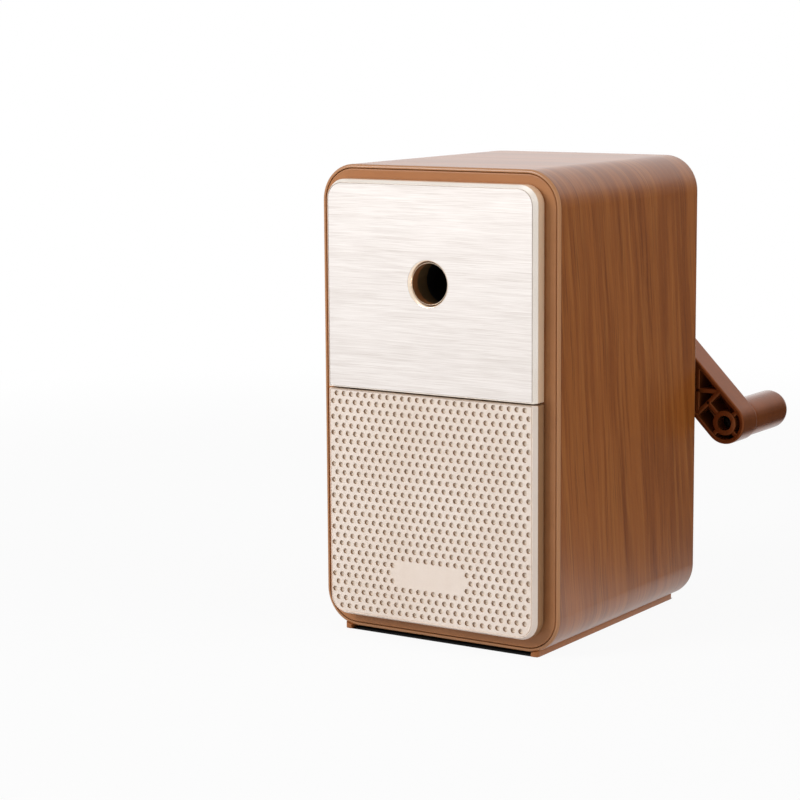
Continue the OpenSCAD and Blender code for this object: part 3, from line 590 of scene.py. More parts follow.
def behind_chamfer(f):
    """1 on the parts of a panel that lie behind its chamfer."""
    end = PANEL_Y + size("bevel_depth")
    return f.split(f.coords())[1].ramp(end - 0.02, end + 0.06)


def champagne(colour, shade, side):
    """Champagne lacquer: fine metallic flakes under a gloss coat, in another tone on the panel's sides."""
    f = Finish("champagne")
    flake = f.noise(1, 1, scale=14)
    cloud = f.noise(0.06, 2)
    base = f.mix((flake * 0.6 + cloud * 0.4).ramp(0.35, 0.65), shade, colour)
    return f.made(Base_Color=f.mix(behind_chamfer(f), base, side), Metallic=0.5, Coat_Weight=0.5,
                  Roughness=(0.33 + (flake - 0.5) * 0.2).clamp(0.15, 0.6), Coat_Roughness=0.1,
                  Normal=f.bump(flake, 0.2, 0.003))


def dimpled_cream(colour, shade, pit, dimple_wall_shade, side):
    """Cream lacquer, with painted shade on the walls of the dimples, and a brown tone on the sides behind the
    chamfer.

    A dimple is anything that lies behind the face and more than a millimetre in from the outline.
    """
    f = Finish("cream")
    x, y, z = f.split(f.coords())
    radius = size("panel_radius")
    over_x = x.calc("ABSOLUTE") - (PANEL_W / 2 - radius)
    over_z = (PANEL_Z + radius) - z
    corner = (over_x.least(0.0) ** 2 + over_z.least(0.0) ** 2).calc("SQRT")
    inwards = radius - corner - over_x.least(over_z).most(0.0)
    cloud = f.noise(0.05, 3)
    flow = f.noise((0.25, 0.6, 0.04), 4, 0.6)
    fine = f.noise(1, 2, scale=8)
    floor = PANEL_Y + size("dimple_depth")
    deep = y.ramp(PANEL_Y + 0.03, PANEL_Y + 0.12) * (inwards > 1.0)
    low = y.ramp(floor - size("dimple_depth") * 0.20, floor - size("dimple_depth") * 0.02)
    base = f.mix((cloud * 0.6 + flow * 0.4).ramp(0.3, 0.7), shade, colour)
    # Painted shade: the dimples' walls take the darker wall colour, and the sides behind the chamfer mix in that
    # same dark tone along the flow lines.
    face = f.mix(deep, base, f.mix(low, dimple_wall_shade, pit))
    return f.made(Base_Color=f.mix(behind_chamfer(f), face, f.mix(flow * 0.5, side, dimple_wall_shade)),
                  Roughness=0.38 + deep * 0.15 + (fine - 0.5) * 0.16 + (cloud - 0.5) * 0.1, IOR=1.42,
                  Normal=f.bump(fine, 0.3, 0.005))


def frosted_tray(colour, streak):
    """Smoke-clear polystyrene with flow lines and a light frost."""
    f = Finish("tray_clear")
    flow = f.noise((0.02, 0.3, 0.08), 3)
    fine = f.noise(1, 2, scale=8)
    return f.made(Base_Color=f.mix(flow * 0.4, colour, streak), Roughness=0.16 + (fine - 0.5) * 0.12,
                  IOR=1.5, Transmission_Weight=0.55, Normal=f.bump(flow * 0.6 + fine * 0.4, 0.3, 0.01))


def rubber(colour, shade):
    """Matt rubber with a fine grain and a powdery bloom."""
    f = Finish("pad_rubber")
    fine = f.noise(1, 3, scale=5)
    bloom = f.noise(0.15, 4)
    return f.made(Base_Color=f.mix(bloom.ramp(0.4, 0.7), colour, shade), Roughness=0.85 + (fine - 0.5) * 0.1,
                  Normal=f.bump(fine, 0.5, 0.02))


# ---------------------------------------------------------------- settings

def tint(name, description, rgb):
    return bpy.props.FloatVectorProperty(name=name, description=description, subtype="COLOR", size=4,
                                         min=0, max=1, default=linear(*rgb))


def length(name, description, default):
    return bpy.props.FloatProperty(name=name, description=description, default=default * MM,
                                   min=0, unit="LENGTH", precision=5)


class SharpenerSizes(bpy.types.PropertyGroup):
    """Sizes of the sharpener's visible forms"""
    case_radius: length("Case radius", "Outer radius of the sleeve's long edges", 8.3)
    case_wall: length("Case wall", "Wall of the sleeve", 2.2)
    rim_width: length("Rim width", "Sleeve's rim round the bezel and the back cover", 0.8)
    rim_round: length("Rim rounding", "Rounding of the sleeve's rims", 0.62)
    film_end: length("Film end", "Distance of the wood film's ends from the sleeve's ends", 0.62)
    cover_thickness: length("Cover thickness", "Plates of the bezel and the back cover", 2.0)
    spigot_length: length("Spigot length", "Reach of those plates into the sleeve", 2.6)
    spigot_wall: length("Spigot wall", "Wall of the spigots", 1.5)
    cover_gap: length("Cover gap", "Gap between the sleeve and the plates", 0.14)
    panel_radius: length("Panel radius", "Corner radius of the panels", 4.4)
    bevel_width: length("Bevel width", "Width of the panels' chamfer", 0.65)
    bevel_depth: length("Bevel depth", "Depth of the panels' chamfer", 1.25)
    panel_wall: length("Panel wall", "Side walls of the hollow panels", 1.5)
    drawer_lap: length("Drawer lap", "Lap of the drawer front over its opening", 1.8)
    dimple_pitch: length("Dimple pitch", "Distance between dimples in a row", 1.98)
    dimple_rise: length("Dimple rise", "Distance between rows of dimples", 1.825)
    dimple_diameter: length("Dimple diameter", "Diameter of a dimple", 1.24)
    dimple_depth: length("Dimple depth", "Depth of a dimple", 0.52)
    dimple_rows: bpy.props.IntProperty(name="Dimple rows", description="Rows of dimples", default=28, min=1)
    arm_width: length("Arm width", "Width of the crank arm", 10.2)
    arm_wall: length("Arm wall", "Wall and ribs of the crank arm", 1.1)
    arm_skin: length("Arm skin", "Back skin of the crank arm", 1.4)
    grip_round: length("Grip rounding", "Rounding of the grip's free end", 3.0)


class SharpenerColours(bpy.types.PropertyGroup):
    """Colours of the sharpener's finishes"""
    wood: tint("Wood", "Middle tone of the wood print", (158, 92, 39))
    wood_light: tint("Wood light", "Light streaks", (170, 106, 50))
    wood_dark: tint("Wood dark", "Dark bands", (136, 74, 28))
    wood_line: tint("Wood line", "Thin dark lines", (100, 51, 19))
    bezel: tint("Bezel", "Bezel and back cover", (184, 126, 82))
    bezel_shade: tint("Bezel shade", "Shaded flow lines of the bezel", (173, 115, 72))
    sheet: tint("Sheet", "Brushed sheet", (232, 226, 222))
    sheet_shade: tint("Sheet shade", "Brush lines", (210, 201, 195))
    lacquer: tint("Lacquer", "Champagne moulding", (250, 242, 234))
    lacquer_shade: tint("Lacquer shade", "Flakes of the champagne moulding", (238, 226, 212))
    front: tint("Drawer front", "Drawer front", (252, 237, 225))
    front_shade: tint("Drawer front shade", "Shaded flow lines of the drawer front", (246, 229, 215))
    crank: tint("Crank", "Crank arm and grip", (134, 72, 34))
    crank_shade: tint("Crank shade", "Darker swirls of the crank", (118, 63, 30))
    # Painted shade: a darker colour on the dimples' steep walls stands in for their shade.
    dimple_wall_shade: tint("Dimple walls", "Steep sides of the dimples", (182, 152, 124))
    pit: tint("Dimples", "Floors of the dimples", (244, 230, 214))
    front_side: tint("Drawer front side", "Bare sides of the drawer front", (146, 104, 66))
    panel_side: tint("Upper panel side", "Sides of the champagne moulding", (255, 236, 206))
    film_edge: tint("Film edge", "Sleeve's rims, where the wood film ends", (180, 124, 78))
    plinth: tint("Plinth", "Plinth under the case", (172, 108, 60))


def size(name):
    """One of the sizes, in millimetres."""
    return getattr(bpy.context.scene.sharpener_sizes, name) / MM


def tones(*names):
    """The colours with these names."""
    return [tuple(getattr(bpy.context.scene.sharpener_colours, name)) for name in names]


def bezel_brown():
    """Finish of the bezel and the back cover."""
    return moulded("bezel_brown", *tones("bezel", "bezel_shade"), 0.34, ior=1.37)


def crank_brown():
    """Finish of the crank arm and the grip: brown with a faint metallic sheen."""
    return moulded("crank_brown", *tones("crank", "crank_shade"), 0.2, 0.004, 1.2, 0.4)


# ---------------------------------------------------------------- case

SCREW_HOLE_R = 1.3      # clearance hole of a screw
HEAD_T = 1.2            # height of a screw's head
HEAD_GAP = 0.1          # free space round a head
SINK = HEAD_T + 0.02    # depth of a head's seat
PAST = 1.0              # how far a cutter runs out of what it cuts
PEG_R = 1.4             # pegs behind the upper panel
SOFT = 0.06             # smallest rounding, where two faces meet
EASE = 0.12             # rounding where a panel is cut off square


def case_rings(pairs):
    """Rings of the case's cross-section, drawn in by the inset of each (y, inset) pair."""
    rings = []
    for y, inset in pairs:
        r = max(size("case_radius") - inset, LEAST_R)
        width = CASE_HIGH.x - CASE_LOW.x - 2 * inset
        rings.append(standing(corner_loop(width, CASE_LOW.z + inset, CASE_HIGH.z - inset, r, r), y))
    return rings


def cover_pairs():
    """(y, inset) pairs of the bezel: a plate in the sleeve's rim, with a spigot behind it."""
    edge, inner = size("rim_width") + size("cover_gap"), size("case_wall") + size("cover_gap")
    web_y = FRONT_Y + size("cover_thickness")
    end_y, deep = web_y + size("spigot_length"), inner + size("spigot_wall")
    return [(FRONT_Y, edge + 0.4), *fillet(FRONT_Y, edge + 0.3, FRONT_Y + 0.3, edge, 4),
            (web_y, edge), (web_y, inner), (end_y, inner), (end_y, deep), (web_y, deep)]


def screw_cutters(node, y0, y1, seat0, seat1):
    """Clearance hole and head's seat for each screw of a CAD node."""
    cutters = []
    for low, high in islands(node):
        x, z = (low.x + high.x) / 2, (low.z + high.z) / 2
        cutters += [rod("through", SCREW_HOLE_R, y0, y1, x, z, 32),
                    rod("sink", (high.x - low.x) / 2 + HEAD_GAP, seat0, seat1, x, z, 40)]
    return cutters


class SHARPENER_OT_sleeve(bpy.types.Operator):
    """Adds the wood-print sleeve"""
    bl_idname = "sharpener.sleeve"
    bl_label = "Sleeve"

    def execute(self, context):
        rim, wall, r = size("rim_width"), size("case_wall"), size("rim_round")
        web_y = FRONT_Y + size("cover_thickness")
        outer = [(FRONT_Y, rim - SOFT), (FRONT_Y, r + 0.04), *fillet(FRONT_Y, r, FRONT_Y + r, 0, 6),
                 (FRONT_Y + r + 0.4, 0)]
        inner = [(web_y, wall), (web_y, rim), (FRONT_Y + SOFT, rim)]
        pairs = outer + mirrored(outer) + mirrored(inner) + inner
        sleeve = loft("sleeve_print", case_rings(pairs), closed=True)
        cut_x, cut_y = self.floor_cut()
        carve(sleeve, [block("floor_cut", (-cut_x, -cut_y, CASE_LOW.z - PAST),
                             (cut_x, cut_y, CASE_LOW.z + wall + PAST))])
        film = wood_print(*tones("wood", "wood_light", "wood_dark", "wood_line", "film_edge"))
        finish_piece(sleeve, "case", "sleeve", film)
        return {"FINISHED"}

    @staticmethod
    def floor_cut():
        """Half the width and half the length of the floor's cut, which clears the plinth's plate."""
        points = cad_points("base_plate")
        top = max(p.z for p in points)
        plate = [p for p in points if p.z > top - SAME]
        return max(p.x for p in plate) + 0.1, max(p.y for p in plate) + 0.1


class SHARPENER_OT_bezel(bpy.types.Operator):
    """Adds the brown bezel in the front rim"""
    bl_idname = "sharpener.bezel"
    bl_label = "Bezel"

    def execute(self, context):
        bezel = loft("bezel", case_rings(cover_pairs()))
        before, behind = FRONT_Y - PAST, FRONT_Y + size("cover_thickness") + PAST
        lap, mouth_r = size("drawer_lap"), 3.4
        mouth = corner_loop(PANEL_W - 2 * lap, PANEL_Z + lap, DRAWER_TOP_Z - lap, mouth_r, mouth_r)
        cutters = [prism("mouth", mouth, before, behind),
                   rod("nozzle_hole", nozzle_radius() + 0.1, before, behind, 0, AXIS_Z, 64)]
        cutters += screw_cutters("frame_screws", before, behind, before, FRONT_Y + SINK)
        cutters += [rod("peg_hole", PEG_R + 0.1, before, behind, x, z, 32) for x, z in peg_places()]
        carve(bezel, cutters)
        finish_piece(bezel, "case", "front_frame", bezel_brown())
        return {"FINISHED"}


class SHARPENER_OT_back_cover(bpy.types.Operator):
    """Adds the back cover with its raised ring"""
    bl_idname = "sharpener.back_cover"
    bl_label = "Back cover"

    def execute(self, context):
        cover = loft("back_cover_shell", case_rings(mirrored(cover_pairs())))
        cover_y, top = REAR_Y - size("cover_thickness"), edges("back_cover")[1].y
        bush_r = radii("shaft_bush", edges("shaft_bush")[1].y)[-1]
        inner, outer, foot = bush_r + 0.2, bush_r + 5.0, cover_y + 0.5
        profile = [(inner, foot), (outer, foot), (outer, top - 0.3), (outer - 0.1, top - 0.08),
                   (outer - 0.3, top), (inner + 0.7, top), (inner + 0.5, top - 0.1), (inner, top - 0.3)]
        fuse(cover, [lathe("shaft_ring", profile, 72, 0, AXIS_Z)])
        before, behind = cover_y - PAST, REAR_Y + PAST
        shaft_hole = rod("shaft_hole", bush_r + 0.4, before, top + PAST, 0, AXIS_Z, 72)
        carve(cover, [shaft_hole] + screw_cutters("cover_screws", before, behind, REAR_Y - SINK, behind))
        finish_piece(cover, "case", "back_cover", bezel_brown())
        return {"FINISHED"}


class SHARPENER_OT_plinth(bpy.types.Operator):
    """Adds the plinth and the rubber pad under the case"""
    bl_idname = "sharpener.plinth"
    bl_label = "Plinth"

    def execute(self, context):
        plinth = eased_copy("base_plate", "plinth_rails", 0.12)
        brown, = tones("plinth")
        shade = tuple(v * 0.8 for v in brown[:3]) + (1.0,)
        material = moulded("plinth_brown", brown, shade, 0.4, ior=1.37)
        finish_piece(plinth, "case", "base_plate", material, 35)
        pad = eased_copy("rubber_pad", "pad", 0.15)
        material = rubber(linear(46, 44, 43), linear(70, 67, 64))
        finish_piece(pad, "case", "rubber_pad", material, 35)
        return {"FINISHED"}


# ---------------------------------------------------------------- panels

def panel_loop(upper, inset, ease):
    """Outline of the upper panel or of the drawer front.

    It is drawn in by the inset on its three free sides and by the ease at the split.
    """
    r = max(size("panel_radius") - inset, LEAST_R)
    width, split_r = PANEL_W - 2 * inset, 0.2
    if upper:
        return corner_loop(width, SPLIT_Z + ease, PANEL_TOP_Z - inset, split_r, r)
    return corner_loop(width, PANEL_Z + inset, DRAWER_TOP_Z - ease, r, split_r)


def panel_rings(upper, rows):
    return [standing(panel_loop(upper, inset, ease), y) for y, inset, ease in rows]


def panel_front_rows():
    """(y, inset, ease) rows from the flat front over the chamfer to the straight side of a panel."""
    width, end = size("bevel_width"), PANEL_Y + size("bevel_depth")
    return [(PANEL_Y, width, EASE), (PANEL_Y + 0.05, width - 0.04, EASE * 0.5),
            (PANEL_Y + 0.2, width - 0.115, 0.0), (end - 0.1, 0.045, 0.0), (end, 0.0, 0.0),
            (end + LEAD, 0.0, 0.0)]


def nozzle_radius():
    return radii("pencil_nozzle", edges("pencil_nozzle")[0].y)[-1]


def peg_places():
    """Middles (x, z) of the four pegs behind the upper panel."""
    back = [p for p in cad_points("top_panel") if p.y > UPPER_HIGH.y - SAME]
    found = []
    for side in (-1, 1):
        for up in (False, True):
            peg = [p for p in back if p.x * side > 0 and (p.z > (SPLIT_Z + PANEL_TOP_Z) / 2) == up]
            found.append([(min(p[i] for p in peg) + max(p[i] for p in peg)) / 2 for i in (0, 2)])
    return found


class SHARPENER_OT_upper_panel(bpy.types.Operator):
    """Adds the champagne moulding, its brushed sheet and the ring round the pencil hole"""
    bl_idname = "sharpener.upper_panel"
    bl_label = "Upper panel"

    def execute(self, context):
        sheet_back, ring_back = edges("brushed_plate")[1].y, edges("hole_ring")[1].y
        ring_r = edges("hole_ring")[1].x
        seat_r, lip = ring_r + 0.02, size("bevel_width") + SOFT
        self.moulding(sheet_back, seat_r, lip)

        rows = [(PANEL_Y, lip + 0.17, 0.23 + EASE), (PANEL_Y + 0.05, lip + 0.13, 0.18 + EASE),
                (sheet_back, lip + 0.13, 0.18 + EASE)]
        sheet = loft("sheet_brushed", panel_rings(True, rows))
        carve(sheet, [rod("sheet_hole", seat_r, PANEL_Y - PAST, sheet_back + PAST, 0, AXIS_Z, 72)])
        metal = brushed_sheet(*tones("sheet", "sheet_shade"))
        finish_piece(sheet, "case", "brushed_plate", metal)

        profile = [(HOLE_R, ring_back), (HOLE_R, PANEL_Y + 0.95), (HOLE_R + 0.04, PANEL_Y + 0.82),
                   (ring_r - 0.15, PANEL_Y + 0.05), (ring_r - 0.08, PANEL_Y), (ring_r - 0.03, PANEL_Y),
                   (ring_r, PANEL_Y + 0.04), (ring_r, ring_back)]
        ring = lathe("hole_ring_slope", profile, 96, 0, AXIS_Z)
        plated = turned_metal("ring_plated", linear(255, 240, 222), linear(248, 226, 202), 0.26,
                              (0.4, 8.0, 0.4), 0.001)
        finish_piece(ring, "case", "hole_ring", plated, 50)
        return {"FINISHED"}

    @staticmethod
    def moulding(sheet_back, seat_r, lip):
        """The moulding, with a recess for the sheet, a collar round the nozzle and four pegs."""
        wall, carrier_y, step = size("panel_wall"), sheet_back + 1.4, 0.6
        rows = [(sheet_back, lip, 0.15 + EASE), (PANEL_Y + 0.03, lip, 0.15 + EASE),
                (PANEL_Y, lip - 0.03, 0.12 + EASE), *panel_front_rows(), (PANEL_BACK_Y, 0, 0),
                (PANEL_BACK_Y, step, step), (FRONT_Y, step, step), (FRONT_Y, wall, wall),
                (carrier_y, wall, wall)]
        panel = loft("upper_panel_frame", panel_rings(True, rows))
        carve(panel, [rod("ring_hole", seat_r, PANEL_Y - PAST, carrier_y + PAST, 0, AXIS_Z, 72)])
        bore_r, collar_r, foot = nozzle_radius() + 0.1, nozzle_radius() + 1.6, carrier_y - 1.0
        collar = [(seat_r, foot), (collar_r, foot), (collar_r, FRONT_Y), (bore_r, FRONT_Y),
                  (bore_r, carrier_y - 0.4)]
        peg = [(PEG_R, carrier_y - 0.5), (PEG_R, UPPER_HIGH.y - 0.3), (PEG_R - 0.3, UPPER_HIGH.y)]
        join(panel, [lathe("nozzle_collar", collar, 64, 0, AXIS_Z)]
             + [lathe("peg", peg, 24, x, z, closed=False) for x, z in peg_places()])
        lacquer = champagne(*tones("lacquer", "lacquer_shade", "panel_side"))
        finish_piece(panel, "case", "top_panel", lacquer)


class SHARPENER_OT_nozzle(bpy.types.Operator):
    """Adds the nozzle behind the pencil hole"""
    bl_idname = "sharpener.nozzle"
    bl_label = "Pencil nozzle"

    def execute(self, context):
        low, high = edges("pencil_nozzle")
        r, guide_r = nozzle_radius(), radii("pencil_nozzle", high.y)[0]
        bore_end, web_y = low.y + 2.3, high.y - 1.5
        profile = [(HOLE_R + 0.05, low.y), (r - 0.05, low.y), (r, low.y + 0.05), (r, web_y), (high.x, web_y),
                   (high.x, high.y), (guide_r, high.y), (guide_r, bore_end), (HOLE_R, bore_end),
                   (HOLE_R, low.y + 0.05)]
        nozzle = lathe("nozzle", profile, 72, 0, AXIS_Z)
        # linear(112, 92, 62) is the painted shade deep in the bore.
        material = nozzle_brown(*tones("bezel_shade"), linear(112, 92, 62), bore_end)
        finish_piece(nozzle, "case", "pencil_nozzle", material, 40)
        return {"FINISHED"}


# ---------------------------------------------------------------- drawer

BARE_HALF, BARE_ROWS = 9.6, (21, 23)    # place without dimples: half its width, first and last row
DIMPLE_SIDES = 12


def bowl(radius, depth):
    """One dimple: a steep wall and a flat floor, open at the rim, with its depth along -Z."""
    rings = []
    for share, drop in ((0.72, 1.0), (0.90, 0.84), (0.96, 0.40), (1.0, 0.0)):
        rings.append([(x, y, -depth * drop) for x, y in circle_loop(radius * share, DIMPLE_SIDES)])
    return loft("bowl", rings, caps=(True, False))


def dimple_pattern():
    """Fills an outline with a sheet full of dimples, in rows that are shifted by turns."""
    t = Pattern("dimples", [
        ("Pitch", "Float", 0.002), ("Rise", "Float", 0.0018), ("Rows", "Int", 28), ("Columns", "Int", 27),
        ("Top", "Float", 0.05), ("Radius", "Float", 0.0005), ("Bare half width", "Float", BARE_HALF * MM),
        ("Bare first row", "Int", BARE_ROWS[0]), ("Bare last row", "Int", BARE_ROWS[1]),
        ("Bowl", "Object", None)])
    pitch, rise, rows, columns, top = (t.given[k] for k in ("Pitch", "Rise", "Rows", "Columns", "Top"))
    index = t.node("GeometryNodeInputIndex")
    row = (index / columns).calc("FLOOR")
    shift = (1 - row % 2) * 0.5 - (columns - 1) / 2
    points = t.points(rows * columns, (index - row * columns + shift) * pitch, top - row * rise, 0.0)

    x, y = t.split(t.node("GeometryNodeInputPosition"))[:2]
    row = ((top - y) / rise + 0.5).calc("FLOOR")
    x, half = x.calc("ABSOLUTE"), (columns - 1) / 2 * pitch
    bare = (x < t.given["Bare half width"]) * (row > t.given["Bare first row"] - 0.5)
    bare = bare * (row < t.given["Bare last row"] + 0.5)
    outside = x > half + pitch * 0.1
    corner = (row > rows - 1.5) * (x > half - pitch * 0.5)
    kept = t.node("GeometryNodeDeleteGeometry", {"domain": "POINT"},
                  {"Geometry": points, "Selection": (outside + bare + corner).clamp()})

    circle = t.node("GeometryNodeCurvePrimitiveCircle", {"mode": "RADIUS"},
                    {"Resolution": DIMPLE_SIDES, "Radius": t.given["Radius"]})
    rims = t.realized(t.instances(kept, circle))
    outline = t.node("GeometryNodeMeshToCurve", {}, [t.given["Geometry"]])
    sheet = t.node("GeometryNodeFillCurve", {"mode": "TRIANGLES"}, [t.joined([outline, rims])])
    t.end(t.joined([sheet, t.instances(kept, t.shape("Bowl"))]))
    return t


class SHARPENER_OT_drawer_front(bpy.types.Operator):
    """Adds the dimpled drawer front"""
    bl_idname = "sharpener.drawer_front"
    bl_label = "Drawer front"

    def execute(self, context):
        wall, edge = size("panel_wall"), size("bevel_width")
        groove_y, face_back = PANEL_Y + 0.16, PANEL_Y + 2.0
        material = dimpled_cream(*tones("front", "front_shade", "pit", "dimple_wall_shade", "front_side"))
        rows = [(PANEL_Y, edge + 0.32, EASE + 0.10), (groove_y, edge + 0.28, EASE + 0.08),
                (groove_y, edge + 0.12, EASE + 0.04), (PANEL_Y, edge + 0.08, EASE + 0.02),
                *panel_front_rows(),
                (PANEL_BACK_Y, 0, 0), (PANEL_BACK_Y, wall, wall), (face_back, wall, wall)]
        shell = loft("drawer_front_dimpled", panel_rings(False, rows), caps=(False, True))
        join(shell, [self.face(panel_loop(False, *rows[0][1:]), material)])
        weld(shell, 2 * MERGE)
        join(shell, self.bosses(face_back - 0.05, 1.22, 2.9))
        finish_piece(shell, "drawer", "drawer_front", material, 28)
        return {"FINISHED"}

    @staticmethod
    def face(outline, material):
        """The dimpled face, made flat on the ground and then stood up in its place."""
        count = len(outline)
        plate = make_mesh("dimple_face", [(x, z, 0.0) for x, z in outline], [],
                          [(i, (i + 1) % count) for i in range(count)])
        s = bpy.context.scene.sharpener_sizes
        radius = s.dimple_diameter / 2
        dimple = bowl(radius / MM, size("dimple_depth"))
        columns = int((PANEL_W * MM - 2 * s.bevel_width - s.dimple_diameter) / s.dimple_pitch) + 1
        dimple_pattern().run(plate, {
            "Pitch": s.dimple_pitch, "Rise": s.dimple_rise, "Rows": s.dimple_rows, "Columns": columns,
            "Top": (DRAWER_TOP_Z - 1.02) * MM, "Radius": radius, "Bowl": dimple, "Finish": material})
        remove(dimple)
        plate.data.transform(Matrix.Translation((0, PANEL_Y * MM, 0)) @ Matrix.Rotation(QUARTER, 4, "X"))
        return plate

    @staticmethod
    def bosses(foot, hole_r, boss_r):
        """Bosses behind the face that take the tray's screws."""
        profile = [(hole_r, foot), (boss_r, foot), (boss_r, PANEL_BACK_Y), (hole_r, PANEL_BACK_Y)]
        return [lathe("boss", profile, 32, (low.x + high.x) / 2, (low.z + high.z) / 2)
                for low, high in islands("drawer_screws")]


class SHARPENER_OT_tray(bpy.types.Operator):
    """Adds the open tray behind the drawer front"""
    bl_idname = "sharpener.tray"
    bl_label = "Shavings tray"

    def execute(self, context):
        tray = eased_copy("drawer_tray", "tray_shell", 0.25)
        clear = frosted_tray(linear(236, 226, 212), linear(190, 170, 150))
        finish_piece(tray, "drawer", "drawer_tray", clear, 35)
        return {"FINISHED"}


# ---------------------------------------------------------------- crank

GRIP_BOSS_R = 3.0       # boss that the grip's screw goes through


def on_crank(obj):
    """Moves a shape from the arm's own frame, where X runs to the grip, to its resting place."""
    obj.data.transform(Matrix.Translation((0, 0, AXIS_Z * MM)) @ Matrix.Rotation(-ARM_ANGLE, 4, "Y"))
    return obj


def rib_pattern():
    """Sets ribs into the arm: crossed braces, the bars between them and spokes round the grip's boss."""
    t = Pattern("ribs", [
        ("Rib", "Object", None), ("Arm", "Float", 0.05), ("Start", "Float", 0.006), ("Pitch", "Float", 0.008),
        ("Cells", "Int", 5), ("Width", "Float", 0.008), ("Brace", "Float", 0.01), ("Hub", "Float", 0.003)])
    cells, width, hub = t.given["Cells"], t.given["Width"], t.given["Hub"]
    start, pitch, overlap = t.given["Start"], t.given["Pitch"], 0.0006
    index = t.node("GeometryNodeInputIndex")
    first = t.given["Arm"] - start
    towards_shaft = (index > 1.5) * (index < 2.5)
    spoke = width * 0.5 - hub + overlap + towards_shaft * (start - width * 0.5)
    reach = hub + spoke * 0.5 - overlap / 2
    turn = index * QUARTER
    spoke_x, spoke_z = t.given["Arm"] + turn.calc("COSINE") * reach, turn.calc("SINE") * -1 * reach
    brace_x = first - ((index / 2).calc("FLOOR") + 0.5) * pitch
    brace_turn = (index % 2) * QUARTER - QUARTER / 2
    groups = (
        # count, place along the arm and across it, turn, length
        (cells * 2, brace_x, 0.0, brace_turn, t.given["Brace"]),
        (cells + 1, first - index * pitch, 0.0, QUARTER, width + overlap),
        (4, spoke_x, spoke_z, turn, spoke),
    )
    parts = []
    for count, x, z, way, long in groups:
        turned, scaled = t.gather(0.0, way, 0.0), t.gather(long / MM, 1.0, 1.0)
        parts.append(t.instances(t.points(count, x, 0.0, z), t.shape("Rib"), Rotation=turned, Scale=scaled))
    t.end(t.joined(parts))
    return t


class SHARPENER_OT_crank_arm(bpy.types.Operator):
    """Adds the ribbed crank arm"""
    bl_idname = "sharpener.crank_arm"
    bl_label = "Crank arm"

    def execute(self, context):
        wall, radius = size("arm_wall"), size("arm_width") / 2
        low, high = edges("crank_arm")
        floor_y = high.y - size("arm_skin")
        material = crank_brown()
        arm = self.shell(low.y, high.y, floor_y, wall, radius)
        join(arm, [self.ribs(low.y + 0.3, floor_y + 0.3, wall, radius, material)])
        finish_piece(on_crank(arm), "crank", "crank_arm", material)
        return {"FINISHED"}

    @staticmethod
    def shell(front, back, floor_y, wall, radius):
        """The arm's hollow bar with both bosses, the shaft's square and the screws' holes."""
        ease, front_r, back_r = 0.3, 0.35, 0.7
        pairs = [(floor_y, wall + ease), (floor_y - 0.1, wall + 0.1), (floor_y - ease, wall),
                 (front + 0.25, wall), (front + 0.07, wall - 0.07), (front, wall - 0.25),
                 *fillet(front, front_r, front + front_r, 0, 4), (front + front_r + LEAD, 0),
                 (back - back_r - 0.2, 0), *fillet(back - back_r, 0, back, back_r, 6, from_side=True)]
        arm = loft("arm_ribbed", [standing(stadium_loop(ARM_LEN, radius - inset), y) for y, inset in pairs])
        boss = [(GRIP_BOSS_R - 0.25, front), (GRIP_BOSS_R - 0.07, front + 0.07), (GRIP_BOSS_R, front + 0.25),
                (GRIP_BOSS_R, floor_y + 0.5)]
        fuse(arm, [rod("hub_disc", radius - 0.12, front + 0.05, floor_y + 0.5, steps=80),
                   lathe("grip_boss", boss, 64, ARM_LEN, closed=False)])
        half, square_end, sink_r = 2.07, back - 1.6, 2.5
        grip_head_r, grip_shank_r, seat = 1.8, 1.25, edges("grip_screw")[0].y + HEAD_T + 0.05
        before, behind = front - PAST, back + PAST
        carve(arm, [block("square", (-half, before, -half), (half, square_end, half)),
                    rod("screw_hole", SCREW_HOLE_R, square_end - 0.4, behind),
                    rod("screw_sink", sink_r, back - HEAD_T - 0.01, behind),
                    rod("head_hole", grip_head_r, before, seat, ARM_LEN),
                    rod("shank_hole", grip_shank_r, seat - PAST, behind, ARM_LEN)])
        return arm

    @staticmethod
    def ribs(front, back, wall, radius, material):
        """Every rib of the arm, from one that is a millimetre long."""
        half = wall / 2
        section = [(front, half - 0.22), (front + 0.07, half - 0.07), (front + 0.22, half), (back, half)]
        section += [(y, -z) for y, z in reversed(section)]
        rib = loft("rib", [[(x, y, z) for y, z in section] for x in (-0.5, 0.5)])
        start, pitch = GRIP_BOSS_R + 3.4, 2 * (radius - wall)
        ribs = make_mesh("ribs", [(0, 0, 0)], [])
        rib_pattern().run(ribs, {
            "Rib": rib, "Arm": ARM_LEN * MM, "Start": start * MM, "Pitch": pitch * MM, "Width": pitch * MM,
            "Cells": int((ARM_LEN - start - radius - 2) / pitch), "Brace": (pitch * math.sqrt(2) - wall) * MM,
            "Hub": GRIP_BOSS_R * MM, "Finish": material})
        remove(rib)
        return ribs


